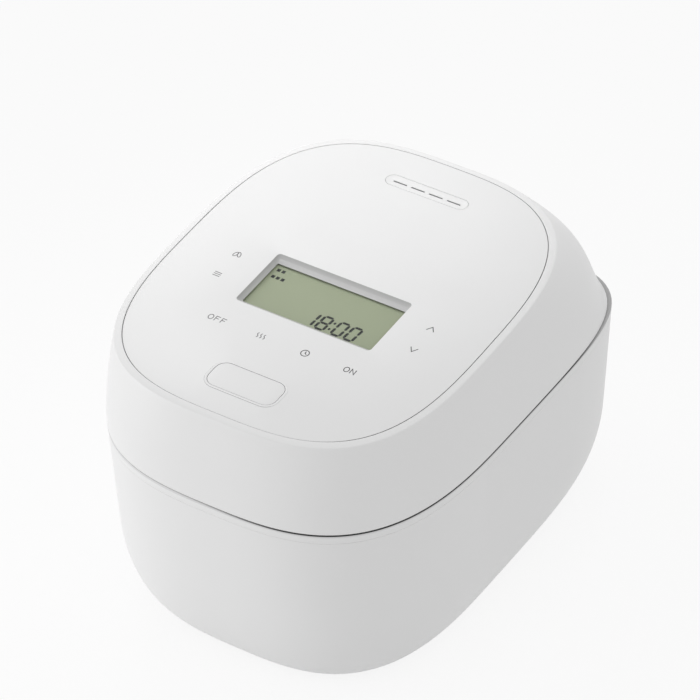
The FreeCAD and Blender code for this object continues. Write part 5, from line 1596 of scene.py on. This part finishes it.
class COOKER_OT_inside(bpy.types.Operator):
    """Gives the pieces inside the cooker their finishes"""

    bl_idname = "cooker.inside"
    bl_label = "Inner pieces"

    def execute(self, context):
        colours = settings().colours
        dark = bpy.data.materials["dark_plastic"]
        steel = bpy.data.materials["brushed_steel"]
        paint(dark, "button_guide", "fan_frame", "fan_rotor", "steam_chamber", "valve_housing", "coil_base")
        paint(steel, "sensor_spring", "hinge_springs", "latch_spring", "button_spring", "touch_springs")
        paint(steel, "hinge_pin", "hinge_screws", "latch_catch", "latch_pin", "heat_sink")
        paint(steel, "solenoid_plunger", "solenoid_body", "valve_ball", "safety_valve")
        paint(spun("spun_probe", colours.steel, 0.25), "sensor_cap", "lid_sensor")
        paint(wound("wound_copper", colours.copper), "inner_coil", "outer_coil", "side_coil", "lid_coil")
        paint(moulded("sintered_ferrite", colours.ferrite, 0.6, 900), "ferrite_bars")
        paint(circuit("lacquered_board", colours.board), "power_board", "control_board")
        resin = moulded("component_plastic", colours.component, 0.45, 1200)
        paint(resin, "power_transistor", "filter_capacitor")
        return {"FINISHED"}


class COOKER_OT_stage(bpy.types.Operator):
    """Sets up the floor, the light and the camera"""

    bl_idname = "cooker.stage"
    bl_label = "Stage"

    def execute(self, context):
        stage = settings().stage
        context.scene.view_settings.view_transform = "Standard"
        half = stage.floor_half
        skin = Skin()
        skin.fill(skin.loop(rectangle_loop((-half, -half), (half, half), 0)))
        floor = skin.piece("studio_floor")
        floor.data.materials.append(studio_floor("studio_floor", settings().colours.floor))
        self.world(stage.ambient)
        self.lamp(
            "key_lamp", stage.key_power, (-0.3, 0.12, 0.5), aim=(-0.06, 0.07, 0.21), size=0.2, spread=100
        )
        self.lamp("back_lamp", stage.back_power, (0, 0.3, 0.75), aim=(0, 0.11, 0.21), size=0.2, spread=35)
        self.lamp(
            "left_lamp", stage.fill_power, (-0.58, -0.55, 0.2), aim=(-0.05, -0.15, 0.12), size=0.4, spread=180
        )
        self.camera()
        return {"FINISHED"}

    def world(self, ambient):
        """Even light all round, which the camera sees as white."""
        world = bpy.data.worlds.new("studio")
        world.use_nodes = True
        bpy.context.scene.world = world
        tree = Tree(world.node_tree)
        light = world.node_tree.nodes["Background"].inputs
        tree.feed(light["Color"], (1, 1, 1, 1))
        tree.feed(light["Strength"], ambient + seen_rays(tree) * (1 - ambient))

    def lamp(self, name, power, place, aim, size, spread):
        """A square lamp that faces a point, with its spread in degrees."""
        data = bpy.data.lights.new(name, "AREA")
        data.size = size
        data.energy = power
        data.spread = math.radians(spread)
        lamp = add_object(name, data)
        lamp.location = place
        lamp.rotation_euler = (Vector(aim) - Vector(place)).to_track_quat("-Z", "Y").to_euler()

    def camera(self):
        stage = settings().stage
        level = math.cos(stage.elevation)
        back = Vector((
            math.sin(stage.azimuth) * level, -math.cos(stage.azimuth) * level, math.sin(stage.elevation)
        ))
        right = Vector((math.cos(stage.azimuth), math.sin(stage.azimuth), 0))
        up = back.cross(right)
        turned_right = right * math.cos(stage.roll) - up * math.sin(stage.roll)
        turned_up = right * math.sin(stage.roll) + up * math.cos(stage.roll)
        data = bpy.data.cameras.new("photo_camera")
        data.lens = stage.lens
        camera = add_object("photo_camera", data)
        turn = Matrix((turned_right, turned_up, back)).transposed().to_4x4()
        camera.matrix_world = Matrix.Translation(Vector(stage.aim) + back * stage.distance) @ turn
        bpy.context.scene.camera = camera


class COOKER_PT_panel(bpy.types.Panel):
    """Lists the steps that build the cooker"""

    bl_label = "Rice cooker"
    bl_space_type = "VIEW_3D"
    bl_region_type = "UI"
    bl_category = "Cooker"

    def draw(self, context):
        for step in OPERATORS:
            self.layout.operator(step.bl_idname)
        for group in ("case", "lid", "panel", "colours", "stage"):
            box = self.layout.box()
            sizes = getattr(context.scene.cooker, group)
            for name in sizes.__annotations__:
                box.prop(sizes, name)


GROUPS = (CaseSizes, LidSizes, PanelSizes, CookerColours, StageSizes, CookerSettings)
OPERATORS = (
    COOKER_OT_case, COOKER_OT_lid, COOKER_OT_display, COOKER_OT_button, COOKER_OT_vent, COOKER_OT_marks,
    COOKER_OT_pot, COOKER_OT_lid_inside, COOKER_OT_hinge, COOKER_OT_underside, COOKER_OT_inside,
    COOKER_OT_stage,
)


def register():
    for item in GROUPS + OPERATORS + (COOKER_PT_panel,):
        bpy.utils.register_class(item)
    bpy.types.Scene.cooker = PointerProperty(type=CookerSettings)


def unregister():
    del bpy.types.Scene.cooker
    for item in reversed(GROUPS + OPERATORS + (COOKER_PT_panel,)):
        bpy.utils.unregister_class(item)


def main():
    register()
    bpy.ops.cooker.case()
    bpy.ops.cooker.lid()
    bpy.ops.cooker.display()
    bpy.ops.cooker.button()
    bpy.ops.cooker.vent()
    bpy.ops.cooker.marks()
    bpy.ops.cooker.pot()
    bpy.ops.cooker.lid_inside()
    bpy.ops.cooker.hinge()
    bpy.ops.cooker.underside()
    bpy.ops.cooker.inside()
    bpy.ops.cooker.stage()


if __name__ == "__main__":
    main()
